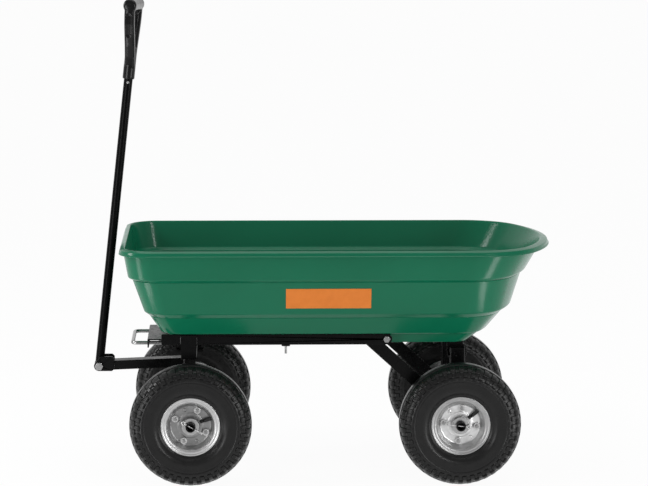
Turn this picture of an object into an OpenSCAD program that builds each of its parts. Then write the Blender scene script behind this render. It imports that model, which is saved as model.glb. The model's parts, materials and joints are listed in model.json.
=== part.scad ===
// Tipping dump cart: a moulded tray that tips over the rear axle of a steel frame,
// with four air wheels, a steered front axle and a handle that folds on its drawbar.
// Millimetres, +Z up, ground at Z = 0, handle end at -X, dump end at +X, left side at -Y.

/* [Wheels] */
// Outer diameter of the tyres
tyre_d = 260; // [248:1:280]
// Width of the tyres
tyre_w = 85; // [78:1:92]
// Thickness of the tyre's side wall
tyre_wall_t = 6; // [4:0.5:7]
// Thickness of the tyre under its tread
tread_t = 9; // [7:0.5:11]
// Number of tread blocks in each row around the tyres
lug_count = 42; // [34:1:48]
// Depth of the grooves between the tread blocks
lug_h = 2; // [1:0.1:2.5]
// Gap between neighbouring tread blocks
lug_gap = 6.5; // [4:0.5:8]
// Outer diameter of the rim flanges
rim_flange_d = 126; // [120:1:132]
// Diameter that the tyre beads sit on
rim_seat_d = 102; // [98:1:106]
// Width of the rim over its flanges
rim_w = 60; // [56:1:64]
// Thickness of the rim's pressed sheet
rim_sheet_t = 2.5; // [2:0.1:3]
// Distance of each wheel disc from the middle of the wheel
disc_depth = 8; // [7:0.5:9]
// Circle that the rim bolts stand on
bolt_circle_d = 71; // [66:1:74]
// Thread diameter of the rim bolts
rim_bolt_d = 8; // [6:0.5:9]
// Outer diameter of the hub tube
hub_d = 30; // [27:0.5:34]
// Length of the hub tube
hub_len = 50; // [46:1:54]
// Diameter of the valve stem
valve_d = 9; // [8:0.5:9.5]
// Length of the valve stem inside the rim
valve_len = 27; // [22:1:29]
// Diameter of both axle tubes
axle_d = 20; // [17:0.5:21]
// Bore of both axle tubes
axle_bore_d = 14; // [11:0.5:15]
// Length of axle that stands out of each hub
axle_out_len = 14; // [12:0.5:16]
// Diameter of the wire of the split pins
cotter_d = 3.6; // [2.5:0.1:4.5]
// Length of the split pins beyond the axle's middle
cotter_len = 29; // [22:1:34]

/* [Stance] */
// Rim nose behind the rear axle
rear_reach = 206; // [196:1:216]
// Gap between the rail's outer face and the tyre
wheel_gap = 5; // [5:0.5:12]

/* [Tub] */
// Width over the rim
tub_w = 514; // [496:1:530]
// Width of the floor
floor_w = 282; // [274:1:288]
// Rim in front of the front axle
front_reach = 150.5; // [140:0.5:151]
// Rim nose behind the front axle
nose_reach = 778; // [766:1:792]
// Floor edge behind the rim at the front
front_slope_len = 106; // [100:1:112]
// Floor edge in front of the rim at the nose
nose_slope_len = 166; // [158:1:172]
// Radius of the rim's front corners
front_corner_r = 65; // [55:1:80]
// Radius of the rim's rear corners
rear_corner_r = 141; // [125:1:150]
// Radius of the floor's rear corners
floor_corner_r = 32; // [26:1:45]
// Radius of the rim's nose
nose_r = 390; // [370:1:420]
// Height of the turned-down rim
lip_h = 12.5; // [10:0.5:15]
// Height of the upper band
band1_h = 51.5; // [46:0.5:58]
// Height of the step under the upper band
step1_h = 6; // [4:0.5:8]
// Height of the middle band
band2_h = 71; // [64:0.5:78]
// Height of the step under the middle band
step2_h = 10; // [7:0.5:12]
// Height of the lower band
band3_h = 39; // [34:0.5:44]
// Wall thickness of the tub
wall_t = 4; // [3:0.25:5]
// Floor left in front of and behind the raised floor panel
pad_margin = 113.25; // [104:0.25:138]
// Width of the raised floor panel
pad_w = 160; // [120:1:166]
// Height of the raised floor panel
pad_h = 4; // [3.6:0.2:6]
// Length of the label
label_len = 180; // [120:1:220]
// Height of the label
label_h = 46; // [34:1:52]
// Thickness of the label
label_t = 0.8; // [0.5:0.1:1.5]

/* [Frame] */
// Height of the rails
rail_h = 23; // [21:0.5:26]
// Thickness of the rails
rail_t = 6; // [5:0.5:8]
// Rail length in front of the front axle
rail_front_len = 62; // [56:1:68]
// Rail bolt in front of the rear axle
rail_bolt_reach = 154; // [144:1:167]
// Thread diameter of the rail bolts
rail_bolt_d = 8; // [6:0.5:9]
// Width of the bolster bar
bolster_w = 33; // [31:0.5:38]
// Thickness of the bolster bar
bolster_t = 5; // [4:0.5:6]
// Rails above the underside of the bolster
bolster_depth = 30; // [28:0.5:34]
// Width of the braces
brace_w = 27; // [23:0.5:30]
// Knee of the braces in front of the rear axle
knee_reach = 191; // [180:1:202]
// Thickness of the braces
brace_t = 5; // [4:0.5:6]
// Side of the square axle beams
beam_w = 30; // [27:0.5:34]
// Depth of the posts along the cart
post_len = 32; // [28:0.5:34]
// Width of the posts across the cart
post_w = 20; // [16:0.5:24]
// Wall of the posts and of the front column
post_wall_t = 2.5; // [2:0.1:3]
// Place of the posts from the middle of the cart
post_reach = 130; // [124:0.5:132]
// Diameter of the hinge rod
hinge_d = 12; // [10:0.5:14]
// Hinge axis below the underside of the tub
hinge_depth = 24.5; // [23:0.5:30]
// Length of the hinge ears' foot plates
ear_plate_len = 75; // [68:1:84]
// Width of the hinge ears' foot plates
ear_plate_w = 26; // [23:0.5:30]
// Width of the cross strap
strap_w = 18; // [14:0.5:24]
// Thickness of the cross strap
strap_t = 3; // [2.5:0.25:4]
// Cross strap behind the front axle
strap_reach = 203; // [150:1:260]
// Diameter of the studs under the strap
stud_d = 5; // [4:0.5:6]
// Length of the studs under the strap
stud_len = 18; // [12:1:22]

/* [Steering head] */
// King pin in front of the front axle
king_reach = 4; // [2:0.5:5]
// Diameter of the king pin
king_d = 16; // [14:0.5:17]
// Side of the square front column
column_w = 25; // [24:0.5:28]
// Side of the square turntable plate
table_w = 60; // [50:1:70]
// Thickness of the turntable plate
table_t = 5; // [4:0.5:6]
// Thickness of the washer under the bolster
thrust_t = 4; // [3:0.5:5]
// Handle pivot in front of the front axle
pivot_reach = 202; // [202:1:215]
// Handle pivot below the turntable plate
pivot_depth = 32.9; // [29:0.1:37]
// Width of the drawbar
drawbar_w = 30; // [26:0.5:34]
// Height of the drawbar
drawbar_h = 20; // [18:0.5:22]
// Rise of the drawbar towards the cart, degrees
drawbar_tilt = 2.3; // [0:0.1:4]
// Thickness of the clevis cheeks
cheek_t = 4.5; // [3.5:0.25:6]
// Length of the clevis cheeks behind the bolt
cheek_len = 33; // [30:0.5:38]
// Radius of the clevis cheeks around the bolt
cheek_r = 11; // [10.5:0.25:13]
// Height of the clevis cheeks above the bolt
cheek_h = 21; // [18:0.5:24]
// Diameter of the clevis bolt
clevis_bolt_d = 10; // [8:0.5:11]

/* [Handle] */
// Diameter of the handle tube
tube_d = 19; // [17:0.25:19.5]
// Wall of the handle tube
tube_wall_t = 1.8; // [1.2:0.1:2.5]
// Lean of the parked handle towards the tub, degrees
handle_lean = 6.2; // [4:0.1:6.3]
// Distance from the handle pivot to the foot of the grip
grip_reach = 630; // [560:1:680]
// Length of the grip from its foot to the middle of its bar
grip_len = 160; // [140:1:180]
// Length of the grip's cross bar
grip_w = 112; // [100:1:124]
// Diameter of the grip's cross bar
grip_bar_d = 29; // [27:0.5:33]
// Thickness of the grip's arms
grip_arm_t = 22; // [17:0.5:23]
// Outer diameter of the grip's socket
socket_d = 26; // [25:0.5:30]
// Turn of the grip about the tube, degrees
grip_turn = -8; // [-20:1:20]
// Bend of the grip away from the tub above its socket, degrees
grip_bend = 2.2; // [0:0.1:4]

/* [Latch] */
// Diameter of the latch wire
wire_d = 8; // [6:0.5:8]
// Width of the latch loop
loop_w = 156; // [140:1:164]
// Latch loop in front of its bracket
loop_reach = 36; // [30:1:40]
// Bend radius of the latch wire
loop_r = 10; // [8:0.5:14]
// Thickness of the bracket plates under the tub
bracket_t = 3; // [2.5:0.25:3.5]
// Width of the latch bracket
bracket_w = 184; // [176:1:190]
// Front face of the latch bracket ahead of the front axle
bracket_reach = 94; // [90:1:98]
// Diameter of the bolts through the tub floor
tub_bolt_d = 7; // [6:0.5:8]

/* [Fits] */
// Gap around a shaft that turns, per side
run_gap = 0.05; // [0.03:0.01:0.08]
// Gap between pieces that rest on each other
seat_gap = 0.1; // [0.08:0.01:0.14]
// Gap between the tub's foot and the level of the rails
tub_seat_gap = 0.5; // [0.4:0.1:1]
// Gap between pieces of different moving groups
body_gap = 2; // [1.75:0.05:2.25]
// Thickness of the inner tubes
tube_skin_t = 2; // [1.5:0.1:2.5]

/* [Hidden] */
$fn = 48;

// How far a cut runs past the face it opens
overrun_len = 1;
// Sides of a hexagon nut or bolt head
hex_sides = 6;
// Corner-to-corner size, head height and nut height as shares of the thread
hex_share = 1.85;
head_share = 0.65;
nut_share = 0.8;
washer_share = 1.85;

// Heights, stacked from the ground
axle_z = tyre_d / 2;
bolster_z = tyre_d + body_gap;
bolster_top_z = bolster_z + bolster_t;
rail_z = bolster_z + bolster_depth;
rail_mid_z = rail_z + rail_h / 2;
tub_z = rail_z + tub_seat_gap;
foot_h = rail_h;
rim_z = tub_z + foot_h + band3_h + step2_h + band2_h + step1_h + band1_h + lip_h;
hinge_z = tub_z - hinge_depth;
beam_top_z = axle_z + beam_w / 2;
table_z = bolster_z - thrust_t - seat_gap;
pivot_z = table_z - table_t - pivot_depth;
bracket_z = tub_z - bracket_t;

// Places along the cart: the origin is midway between the clevis nose and the rim nose
front_x = -(nose_reach - pivot_reach - cheek_r) / 2;
wheelbase = nose_reach - rear_reach;
rear_x = front_x + wheelbase;
king_axis_x = front_x - king_reach;
pivot_x = front_x - pivot_reach;
rim_front_x = front_x - front_reach;
rim_nose_x = front_x + nose_reach;
floor_front_x = rim_front_x + front_slope_len;
bolt_x = rear_x - rail_bolt_reach;

// Tub outline: rows from the top of the upper band down to the floor edge
side_slope = (tub_w - floor_w) / 2;
side_shares = [0.103, 0.181, 0.259, 0.457, 0.552, 0.75, 0.961, 1];
front_shares = [0.08, 0.179, 0.269, 0.491, 0.604, 0.835, 0.943, 1];
nose_shares = [0.09, 0.301, 0.361, 0.494, 0.59, 0.789, 0.82, 1];
nose_r_loss_share = 0.15;
row_drops = [lip_h, band1_h, step1_h, band2_h, step2_h, band3_h, 0, foot_h];
function drop(i) = i < 0 ? 0 : row_drops[i] + drop(i - 1);
function row(i) = [rim_z - drop(i), side_slope * side_shares[i],
    front_slope_len * front_shares[i], nose_slope_len * nose_shares[i]];
rows = [for (i = [0 : 7]) row(i)];
foot_y = tub_w / 2 - rows[6][1];
// Bends of the outline, from the floor edge up, in wall thicknesses
bend_shares = [1.5, 0.5, 1.5, 1.25, 1.75, 1.25, 1.75];
lip_bend_shares = [0, 0, 0.4, 0.4, 1, 0.75];
bend_limit_share = 0.45;
bend_steps = 2;

// Places across the cart
nut_room = rail_bolt_d * nut_share;
rail_in_y = foot_y + body_gap + nut_room + brace_t;
rail_out_y = rail_in_y + rail_t;
wheel_in_y = rail_out_y + wheel_gap;
wheel_y = wheel_in_y + tyre_w / 2;
hub_in_y = wheel_y - hub_len / 2;
washer_t = axle_d / 8;
beam_end_y = hub_in_y - washer_t - 2 * seat_gap;
axle_end_y = wheel_y + hub_len / 2 + axle_out_len;
cotter_at = hub_len / 2 + washer_t + seat_gap + cotter_d;

// Colours
steel_black = [0.08, 0.08, 0.09];
zinc = [0.75, 0.76, 0.78];
rubber_black = [0.14, 0.14, 0.15];
tub_green = [0.13, 0.42, 0.31];
label_orange = [0.87, 0.5, 0.2];

// Helpers
module rounded_rect(l, w, r) {
    square([l - 2 * r, w], center = true);
    square([l, w - 2 * r], center = true);
    for (x = [-1, 1], y = [-1, 1])
        translate([x * (l / 2 - r), y * (w / 2 - r)])
            circle(r);
}

module plate(l, w, t, r) {
    linear_extrude(t)
        rounded_rect(l, w, r);
}

// A round bar along Y, from y0 to y1
module bar_y(x, z, d, y0, y1) {
    translate([x, y0, z])
        rotate([-90, 0, 0])
            cylinder(d = d, h = y1 - y0);
}

// A round bar along X, from x0 to x1
module bar_x(y, z, d, x0, x1) {
    translate([x0, y, z])
        rotate([0, 90, 0])
            cylinder(d = d, h = x1 - x0);
}

// An outline in X and Z, as thick as y0 to y1
module slab_y(y0, y1) {
    translate([0, y1, 0])
        rotate([90, 0, 0])
            linear_extrude(y1 - y0)
                children();
}

// The same piece on the left (-1) or right (1) side
module on_side(side) {
    if (side < 0)
        mirror([0, 1, 0])
            children();
    else
        children();
}

// Wheel frame: Z is the wheel's axis and points away from the cart
module at_wheel(x, side) {
    translate([x, side * wheel_y, axle_z])
        rotate([-90 * side, 0, 0])
            children();
}

module hex(d, h) {
    cylinder(d = d * hex_share, h = h, $fn = hex_sides);
}

// Rails, bolster and braces
module rail(side) {
    color(steel_black)
        on_side(side)
            difference() {
                slab_y(rail_in_y, rail_out_y) {
                    translate([front_x - rail_front_len, rail_z])
                        square([bolt_x - front_x + rail_front_len, rail_h]);
                    translate([bolt_x, rail_mid_z])
                        circle(d = rail_h);
                }
                bar_y(bolt_x, rail_mid_z, rail_bolt_d + 2 * seat_gap,
                    rail_in_y - overrun_len, rail_out_y + overrun_len);
            }
}

module rail_left() { rail(-1); }
module rail_right() { rail(1); }

module front_bolster() {
    leg_top_z = rail_z + rail_h - bolster_t / 4;
    out_y = rail_out_y + bolster_t;
    color(steel_black)
        translate([king_axis_x, 0, 0])
            difference() {
                union() {
                    translate([-bolster_w / 2, -out_y, bolster_z])
                        cube([bolster_w, 2 * out_y, bolster_t]);
                    for (side = [-1, 1])
                        on_side(side)
                            translate([-bolster_w / 2, rail_out_y, bolster_z])
                                cube([bolster_w, bolster_t, leg_top_z - bolster_z]);
                }
                translate([0, 0, bolster_z - overrun_len])
                    cylinder(d = king_d + 2 * run_gap, h = bolster_t + 2 * overrun_len);
            }
}

rod_z = bracket_z - wire_d;
rod_y = loop_w / 2 - wire_d / 2;
catch_h = bracket_z - bolster_top_z - body_gap;
catch_x = king_axis_x - bolster_w / 2;

module catch_plate() {
    color(steel_black)
        difference() {
            translate([catch_x, -bracket_w / 2, bolster_top_z])
                cube([bracket_t, bracket_w, catch_h]);
            for (side = [-1, 1])
                bar_x(side * rod_y, rod_z, wire_d,
                    catch_x - overrun_len, catch_x + bracket_t + overrun_len);
        }
}

module cross_strap() {
    color(steel_black)
        translate([front_x + strap_reach, 0, rail_z - strap_t])
            difference() {
                plate(strap_w, 2 * rail_out_y, strap_t, strap_w / 4);
                for (side = [-1, 1])
                    translate([0, side * stud_y, -overrun_len])
                        cylinder(d = stud_d, h = strap_t + 2 * overrun_len);
            }
}

stud_y = rail_in_y - brace_t - stud_d / 2;

module strap_studs() {
    color(zinc)
        for (side = [-1, 1])
            translate([front_x + strap_reach, side * stud_y, rail_z - strap_t - stud_len])
                cylinder(d = stud_d - 2 * run_gap, h = stud_len + strap_t);
}

knee_x = rear_x - knee_reach;
brace_rise = atan2(rail_mid_z - axle_z, rear_x - knee_x);

module brace(side) {
    run = norm([rear_x - knee_x, rail_mid_z - axle_z]);
    tab_h = rail_h - 2 * seat_gap;
    color(steel_black)
        on_side(side)
            difference() {
                slab_y(rail_in_y - brace_t, rail_in_y) {
                    intersection() {
                        translate([rear_x, axle_z])
                            rotate(180 - brace_rise)
                                translate([0, -brace_w / 2])
                                    square([run + brace_w, brace_w]);
                        translate([knee_x - 2 * brace_w, axle_z - beam_w])
                            square([wheelbase, rail_mid_z + tab_h / 2 - axle_z + beam_w]);
                    }
                    translate([knee_x - brace_w / 2, rail_mid_z - tab_h / 2])
                        square([bolt_x - knee_x + brace_w / 2, tab_h]);
                    translate([bolt_x, rail_mid_z])
                        circle(d = tab_h);
                }
                translate([rear_x - beam_w / 2, 0, axle_z - beam_w / 2])
                    cube([2 * beam_w, beam_end_y, beam_w]);
                translate([rear_x - beam_w / 2, 0, axle_z - 2 * beam_w])
                    cube([2 * beam_w, beam_end_y, 2 * beam_w]);
                bar_y(bolt_x, rail_mid_z, rail_bolt_d + 2 * seat_gap, 0, rail_out_y);
            }
}

module brace_left() { brace(-1); }
module brace_right() { brace(1); }

module rail_bolts() {
    nut_y = rail_in_y - brace_t - nut_room;
    head_h = rail_bolt_d * head_share;
    color(zinc)
        for (side = [-1, 1])
            on_side(side) {
                bar_y(bolt_x, rail_mid_z, rail_bolt_d, nut_y, rail_out_y);
                translate([bolt_x, rail_out_y, rail_mid_z])
                    rotate([-90, 0, 0])
                        hex(rail_bolt_d, head_h);
                translate([bolt_x, nut_y, rail_mid_z])
                    rotate([-90, 0, 0])
                        hex(rail_bolt_d, nut_room);
            }
}

// Axle beams with their rods, washers and split pins
module beam(x) {
    color(steel_black)
        difference() {
            translate([x - beam_w / 2, -beam_end_y, axle_z - beam_w / 2])
                cube([beam_w, 2 * beam_end_y, beam_w]);
            bar_y(x, axle_z, axle_d + 2 * run_gap, -beam_end_y - overrun_len, beam_end_y + overrun_len);
        }
}

module axle(x, turns) {
    color(steel_black)
        difference() {
            bar_y(x, axle_z, axle_d, -axle_end_y, axle_end_y);
            bar_y(x, axle_z, axle_bore_d, -axle_end_y - overrun_len, axle_end_y + overrun_len);
            for (side = [-1, 1])
                at_wheel(x, side)
                    cotter_axis(turns[(side + 1) / 2])
                        cylinder(d = cotter_d + 2 * run_gap, h = 2 * axle_d, center = true);
        }
}

module cotter_axis(turn) {
    translate([0, 0, cotter_at])
        rotate([0, 0, turn])
            rotate([0, 90, 0])
                children();
}

module washers(x) {
    color(zinc)
        for (side = [-1, 1])
            at_wheel(x, side)
                for (z = [-hub_len / 2 - washer_t - seat_gap, hub_len / 2 + seat_gap])
                    translate([0, 0, z])
                        difference() {
                            cylinder(d = axle_d * washer_share, h = washer_t);
                            translate([0, 0, -overrun_len])
                                cylinder(d = axle_d + 2 * seat_gap, h = washer_t + 2 * overrun_len);
                        }
}

// Wire of a split pin's eye as a share of its shank
eye_share = 0.9;

module cotters(x, turns) {
    eye_r = cotter_d;
    color(zinc)
        for (side = [-1, 1])
            at_wheel(x, side)
                cotter_axis(turns[(side + 1) / 2]) {
                    translate([0, 0, -axle_d / 2 - cotter_d])
                        cylinder(d = cotter_d, h = cotter_len + axle_d / 2 + cotter_d);
                    translate([0, 0, -axle_d / 2 - cotter_d - eye_r])
                        rotate([0, 90, 0])
                            rotate_extrude()
                                translate([eye_r, 0])
                                    circle(d = cotter_d * eye_share);
                }
}

// Turn of each split pin about its axle, left wheel then right wheel
front_pins = [-30, 140];
rear_pins = [174, 60];

module rear_beam() { beam(rear_x); }
module rear_axle() { axle(rear_x, rear_pins); }
module rear_washers() { washers(rear_x); }
module rear_cotters() { cotters(rear_x, rear_pins); }
module front_beam() { beam(front_x); }
module front_axle() { axle(front_x, front_pins); }
module front_washers() { washers(front_x); }
module front_cotters() { cotters(front_x, front_pins); }

// Posts and tip hinge
post_top_z = hinge_z + hinge_d;
post_corner_share = 1.5;

module post(side) {
    color(steel_black)
        on_side(side)
            difference() {
                translate([rear_x, post_reach, beam_top_z])
                    plate(post_len, post_w, post_top_z - beam_top_z, post_wall_t * post_corner_share);
                translate([rear_x, post_reach, beam_top_z - overrun_len])
                    plate(post_len - 2 * post_wall_t, post_w - 2 * post_wall_t,
                        post_top_z - beam_top_z + 2 * overrun_len, post_wall_t);
                bar_y(rear_x, hinge_z, hinge_d + 2 * run_gap, 0, post_reach + post_w);
            }
}

module post_left() { post(-1); }
module post_right() { post(1); }

module hinge_rod() {
    color(zinc)
        bar_y(rear_x, hinge_z, hinge_d, -post_reach - post_w / 2, post_reach + post_w / 2);
}

// Tub shell: closed rings of points lofted over the outer face, the rim and the inner face
front_steps = 6;
corner_steps = 6;
nose_steps = 4;

function mix(a, b, t) = a + (b - a) * t;
function span(a, b) = norm([a[0] - b[0], a[1] - b[1]]);
function curve(a, b, c, t) = mix(mix(a, b, t), mix(b, c, t), t);
function bend(p, i, r) =
    let (a = mix(p[i], p[i - 1], min(r / span(p[i], p[i - 1]), bend_limit_share)),
        c = mix(p[i], p[i + 1], min(r / span(p[i], p[i + 1]), bend_limit_share)))
    [for (k = [0 : bend_steps]) curve(a, p[i], c, k / bend_steps)];
function bent(p, r) = [for (i = [0 : len(p) - 1])
    each (i == 0 || i == len(p) - 1 || r[i] == 0 ? [p[i]] : bend(p, i, r[i]))];

// One closed outline at a height, inset from the rim at the sides, front and nose
function ring(q) =
    let (w = tub_w / 2 - q[1], xf = rim_front_x + q[2], xn = rim_nose_x - q[3], s = q[1] / side_slope,
        rf = front_corner_r * w / (tub_w / 2), rc = mix(rear_corner_r, floor_corner_r, s),
        rn = nose_r * (1 - nose_r_loss_share * s), cx = xn - rn,
        ax = cx + sqrt(pow(rn - rc, 2) - pow(w - rc, 2)), b = atan2(w - rc, ax - cx),
        half = concat(
            [for (i = [0 : front_steps]) let (a = 180 + 90 * i / front_steps)
                [xf + rf + rf * cos(a), -(w - rf) + rf * sin(a)]],
            [for (i = [0 : corner_steps]) let (a = 270 + (90 - b) * i / corner_steps)
                [ax + rc * cos(a), -(w - rc) + rc * sin(a)]],
            [for (i = [1 : nose_steps]) let (a = -b + b * i / nose_steps)
                [cx + rn * cos(a), rn * sin(a)]]),
        n = len(half))
    [for (i = [0 : 2 * n - 2]) i < n
        ? [half[i][0], half[i][1], q[0]]
        : [half[2 * n - 2 - i][0], -half[2 * n - 2 - i][1], q[0]]];

module shell(rings) {
    n = len(rings[0]);
    last = len(rings) - 1;
    points = [for (r = rings) each r];
    walls = [for (i = [0 : last - 1], j = [0 : n - 1])
        let (k = (j + 1) % n, a = i * n, b = a + n)
        each [[a + j, b + j, b + k], [a + j, b + k, a + k]]];
    foot = [for (j = [0 : n - 1]) j];
    top = [for (j = [n - 1 : -1 : 0]) last * n + j];
    polyhedron(points, concat([foot, top], walls), convexity = 6);
}

wall_in = [wall_t, wall_t, wall_t, wall_t];
lip_rows = [
    [rim_z - wall_t, rows[0][1], rows[0][2], rows[0][3]],
    [rim_z - wall_t, wall_t, wall_t, wall_t],
    [rim_z - lip_h, wall_t, wall_t, wall_t],
    [rim_z - lip_h, 0, 0, 0],
    [rim_z, 0, 0, 0]];
outer_rows = [for (i = [7 : -1 : 1]) rows[i]];
inner_top = [rim_z, rows[0][1] + wall_t, rows[0][2] + wall_t, rows[0][3] + wall_t];
inner_rows = [for (i = [1 : 7]) rows[i] + wall_in];
floor_top_z = tub_z + wall_t;
floor_in = [tub_z + wall_t, rows[7][1] + 2 * wall_t, rows[7][2] + 2 * wall_t, rows[7][3] + 2 * wall_t];
floor_out = [tub_z, rows[7][1] + wall_t, rows[7][2] + wall_t, rows[7][3] + wall_t];

module tub_shell() {
    path = concat([floor_out], outer_rows, lip_rows, [inner_top], inner_rows, [floor_in]);
    round_in = [for (i = [6 : -1 : 0]) bend_shares[i]];
    shares = concat([0], [for (i = [0 : 6]) bend_shares[i]], lip_bend_shares, round_in, [0]);
    bends = [for (s = shares) s * wall_t];
    shell([for (q = bent(path, bends)) ring(q)]);
}

floor_len = nose_reach + front_reach - front_slope_len - nose_slope_len;
pad_x = floor_front_x + floor_len / 2;
pad_len = floor_len - 2 * pad_margin;

module tub() {
    color(tub_green)
        difference() {
            union() {
                tub_shell();
                translate([pad_x, 0, tub_z + wall_t / 2])
                    plate(pad_len, pad_w, wall_t / 2 + pad_h, pad_h * 4);
            }
            for (p = tub_bolt_places)
                translate([p[0], p[1], tub_z - overrun_len])
                    cylinder(d = tub_bolt_d + 2 * seat_gap, h = 2 * wall_t + overrun_len);
        }
}

// Label on the middle band of the left side, flat on its slope
label_shift_share = 0.06;
label_lean = atan2(rows[3][1] - rows[2][1], band2_h);

module label_plate() {
    mid = (rows[2] + rows[3]) / 2;
    color(label_orange)
        translate([front_x + (nose_reach - front_reach) / 2 - label_shift_share * label_len * 2,
            -(tub_w / 2 - mid[1]) - seat_gap, mid[0]])
            rotate([90 + label_lean, 0, 0])
                linear_extrude(label_t)
                    square([label_len, label_h], center = true);
}

// Brackets under the tub
ear_in = post_reach - post_w / 2 - body_gap;
ear_t_share = 1.25;
ear_r_share = 1.8;
ear_foot_share = 1.6;
ear_t = bracket_t * ear_t_share;
ear_r = hinge_d * ear_r_share;
ear_plate_x = rear_x - ear_plate_len / 4;
ear_bolt_y = ear_in - ear_plate_w / 2;
ear_bolt_step = ear_plate_len / 3;
latch_bolt_x = king_axis_x + bolster_w;
latch_bolt_y = bracket_w / 5;
tub_bolt_places = concat(
    [for (side = [-1, 1]) [latch_bolt_x, side * latch_bolt_y]],
    [for (side = [-1, 1], k = [-1, 1]) [ear_plate_x + k * ear_bolt_step, side * ear_bolt_y]]);

module hinge_ear(side) {
    color(steel_black)
        on_side(side)
            difference() {
                union() {
                    translate([ear_plate_x - ear_plate_len / 2, ear_in - ear_plate_w, bracket_z])
                        cube([ear_plate_len, ear_plate_w, bracket_t]);
                    slab_y(ear_in - ear_t, ear_in) {
                        translate([rear_x, hinge_z])
                            circle(r = ear_r);
                        translate([rear_x - ear_r, hinge_z])
                            square([ear_foot_share * ear_r, bracket_z - hinge_z]);
                    }
                }
                bar_y(rear_x, hinge_z, hinge_d + 2 * run_gap, 0, post_reach);
                for (k = [-1, 1])
                    translate([ear_plate_x + k * ear_bolt_step, ear_bolt_y, bracket_z - overrun_len])
                        cylinder(d = tub_bolt_d + 2 * seat_gap, h = bracket_t + 2 * overrun_len);
                translate([rear_x - 2 * ear_r, ear_in - 2 * ear_t, tub_z])
                    cube([4 * ear_r, 4 * ear_t, 2 * ear_r]);
            }
}

module hinge_ear_left() { hinge_ear(-1); }
module hinge_ear_right() { hinge_ear(1); }

flange_h = bracket_z - rod_z + wire_d;
guide_x = catch_x - 2 * wire_d - bracket_t;
flange_x = front_x - bracket_reach;

module latch_bracket() {
    back_x = latch_bolt_x + 2 * tub_bolt_d;
    color(steel_black)
        difference() {
            union() {
                translate([flange_x, -bracket_w / 2, bracket_z])
                    cube([back_x - flange_x, bracket_w, bracket_t]);
                for (x = [flange_x, guide_x])
                    translate([x, -bracket_w / 2, bracket_z - flange_h])
                        cube([bracket_t, bracket_w, flange_h + bracket_t / 2]);
            }
            for (side = [-1, 1]) {
                bar_x(side * rod_y, rod_z, wire_d + 4 * seat_gap,
                    flange_x - overrun_len, guide_x + bracket_t + overrun_len);
                translate([latch_bolt_x, side * latch_bolt_y, bracket_z - overrun_len])
                    cylinder(d = tub_bolt_d + 2 * seat_gap, h = bracket_t + 2 * overrun_len);
            }
        }
}

module tub_bolts() {
    nut_h = tub_bolt_d * nut_share;
    head_h = tub_bolt_d / 2;
    color(zinc)
        for (p = tub_bolt_places)
            translate([p[0], p[1], 0]) {
                translate([0, 0, bracket_z - nut_h])
                    hex(tub_bolt_d, nut_h);
                translate([0, 0, bracket_z - nut_h])
                    cylinder(d = tub_bolt_d, h = nut_h + bracket_t + wall_t);
                translate([0, 0, floor_top_z])
                    cylinder(d1 = tub_bolt_d * 2, d2 = tub_bolt_d, h = head_h);
            }
}

// Latch: one bent wire, two rods through the bracket and a cross bar in front
module latch_loop() {
    front = flange_x - loop_reach + wire_d / 2;
    tip = catch_x - body_gap;
    color(zinc) {
        for (side = [-1, 1])
            on_side(side) {
                bar_x(rod_y, rod_z, wire_d, front + loop_r, tip);
                translate([front + loop_r, rod_y - loop_r, rod_z])
                    rotate([0, 0, 90])
                        rotate_extrude(angle = 90)
                            translate([loop_r, 0])
                                circle(d = wire_d);
            }
        bar_y(front, rod_z, wire_d, -rod_y + loop_r, rod_y - loop_r);
    }
}

// Steering head
module front_column() {
    bore_w = column_w - 2 * post_wall_t;
    color(steel_black)
        translate([king_axis_x, 0, 0])
            difference() {
                union() {
                    translate([-column_w / 2, -column_w / 2, beam_top_z])
                        cube([column_w, column_w, table_z - table_t - beam_top_z]);
                    translate([0, 0, table_z - table_t])
                        plate(table_w, table_w, table_t, table_w / 10);
                }
                translate([-bore_w / 2, -bore_w / 2, beam_top_z - overrun_len])
                    cube([bore_w, bore_w, table_z - table_t - beam_top_z + overrun_len]);
                translate([0, 0, table_z - table_t - overrun_len])
                    cylinder(d = king_d + 2 * run_gap, h = table_t + 2 * overrun_len);
            }
}

thrust_share = 0.9;

module thrust_washer() {
    color([0.85, 0.84, 0.8])
        translate([king_axis_x, 0, table_z])
            difference() {
                cylinder(d = table_w * thrust_share, h = thrust_t);
                translate([0, 0, -overrun_len])
                    cylinder(d = king_d + 2 * run_gap, h = thrust_t + 2 * overrun_len);
            }
}

// The king pin's nut stands with a flat towards the catch plate
king_nut_share = 1.6;
king_nut_turn = 30;

module king_pin() {
    nut_z = bolster_top_z + seat_gap;
    nut_h = king_d * head_share;
    color(zinc)
        translate([king_axis_x, 0, 0]) {
            translate([0, 0, table_z - table_t])
                cylinder(d = king_d, h = nut_z + nut_h - table_z + table_t);
            translate([0, 0, nut_z])
                rotate([0, 0, king_nut_turn])
                    cylinder(d = king_d * king_nut_share, h = nut_h, $fn = hex_sides);
        }
}

// Frame of the drawbar: X runs from the handle pivot towards the cart
module at_pivot() {
    translate([pivot_x, 0, pivot_z])
        children();
}

eye_d = 2 * cheek_r - 2 * body_gap;
drawbar_start = eye_d / 2 + tube_d / 2 + body_gap;

module drawbar() {
    run = pivot_reach - king_reach;
    wall = post_wall_t;
    color(steel_black)
        difference() {
            at_pivot()
                rotate([0, -drawbar_tilt, 0])
                    difference() {
                        translate([drawbar_start, -drawbar_w / 2, -drawbar_h / 2])
                            cube([run - drawbar_start, drawbar_w, drawbar_h]);
                        translate([drawbar_start - overrun_len, wall - drawbar_w / 2, wall - drawbar_h / 2])
                            cube([run, drawbar_w - 2 * wall, drawbar_h - 2 * wall]);
                    }
            translate([king_axis_x - column_w / 2, -drawbar_w, axle_z])
                cube([column_w * 2, 2 * drawbar_w, bolster_z]);
        }
}

// Where the cheeks' front edge leaves their round nose, degrees
cheek_angle = 20;

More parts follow.
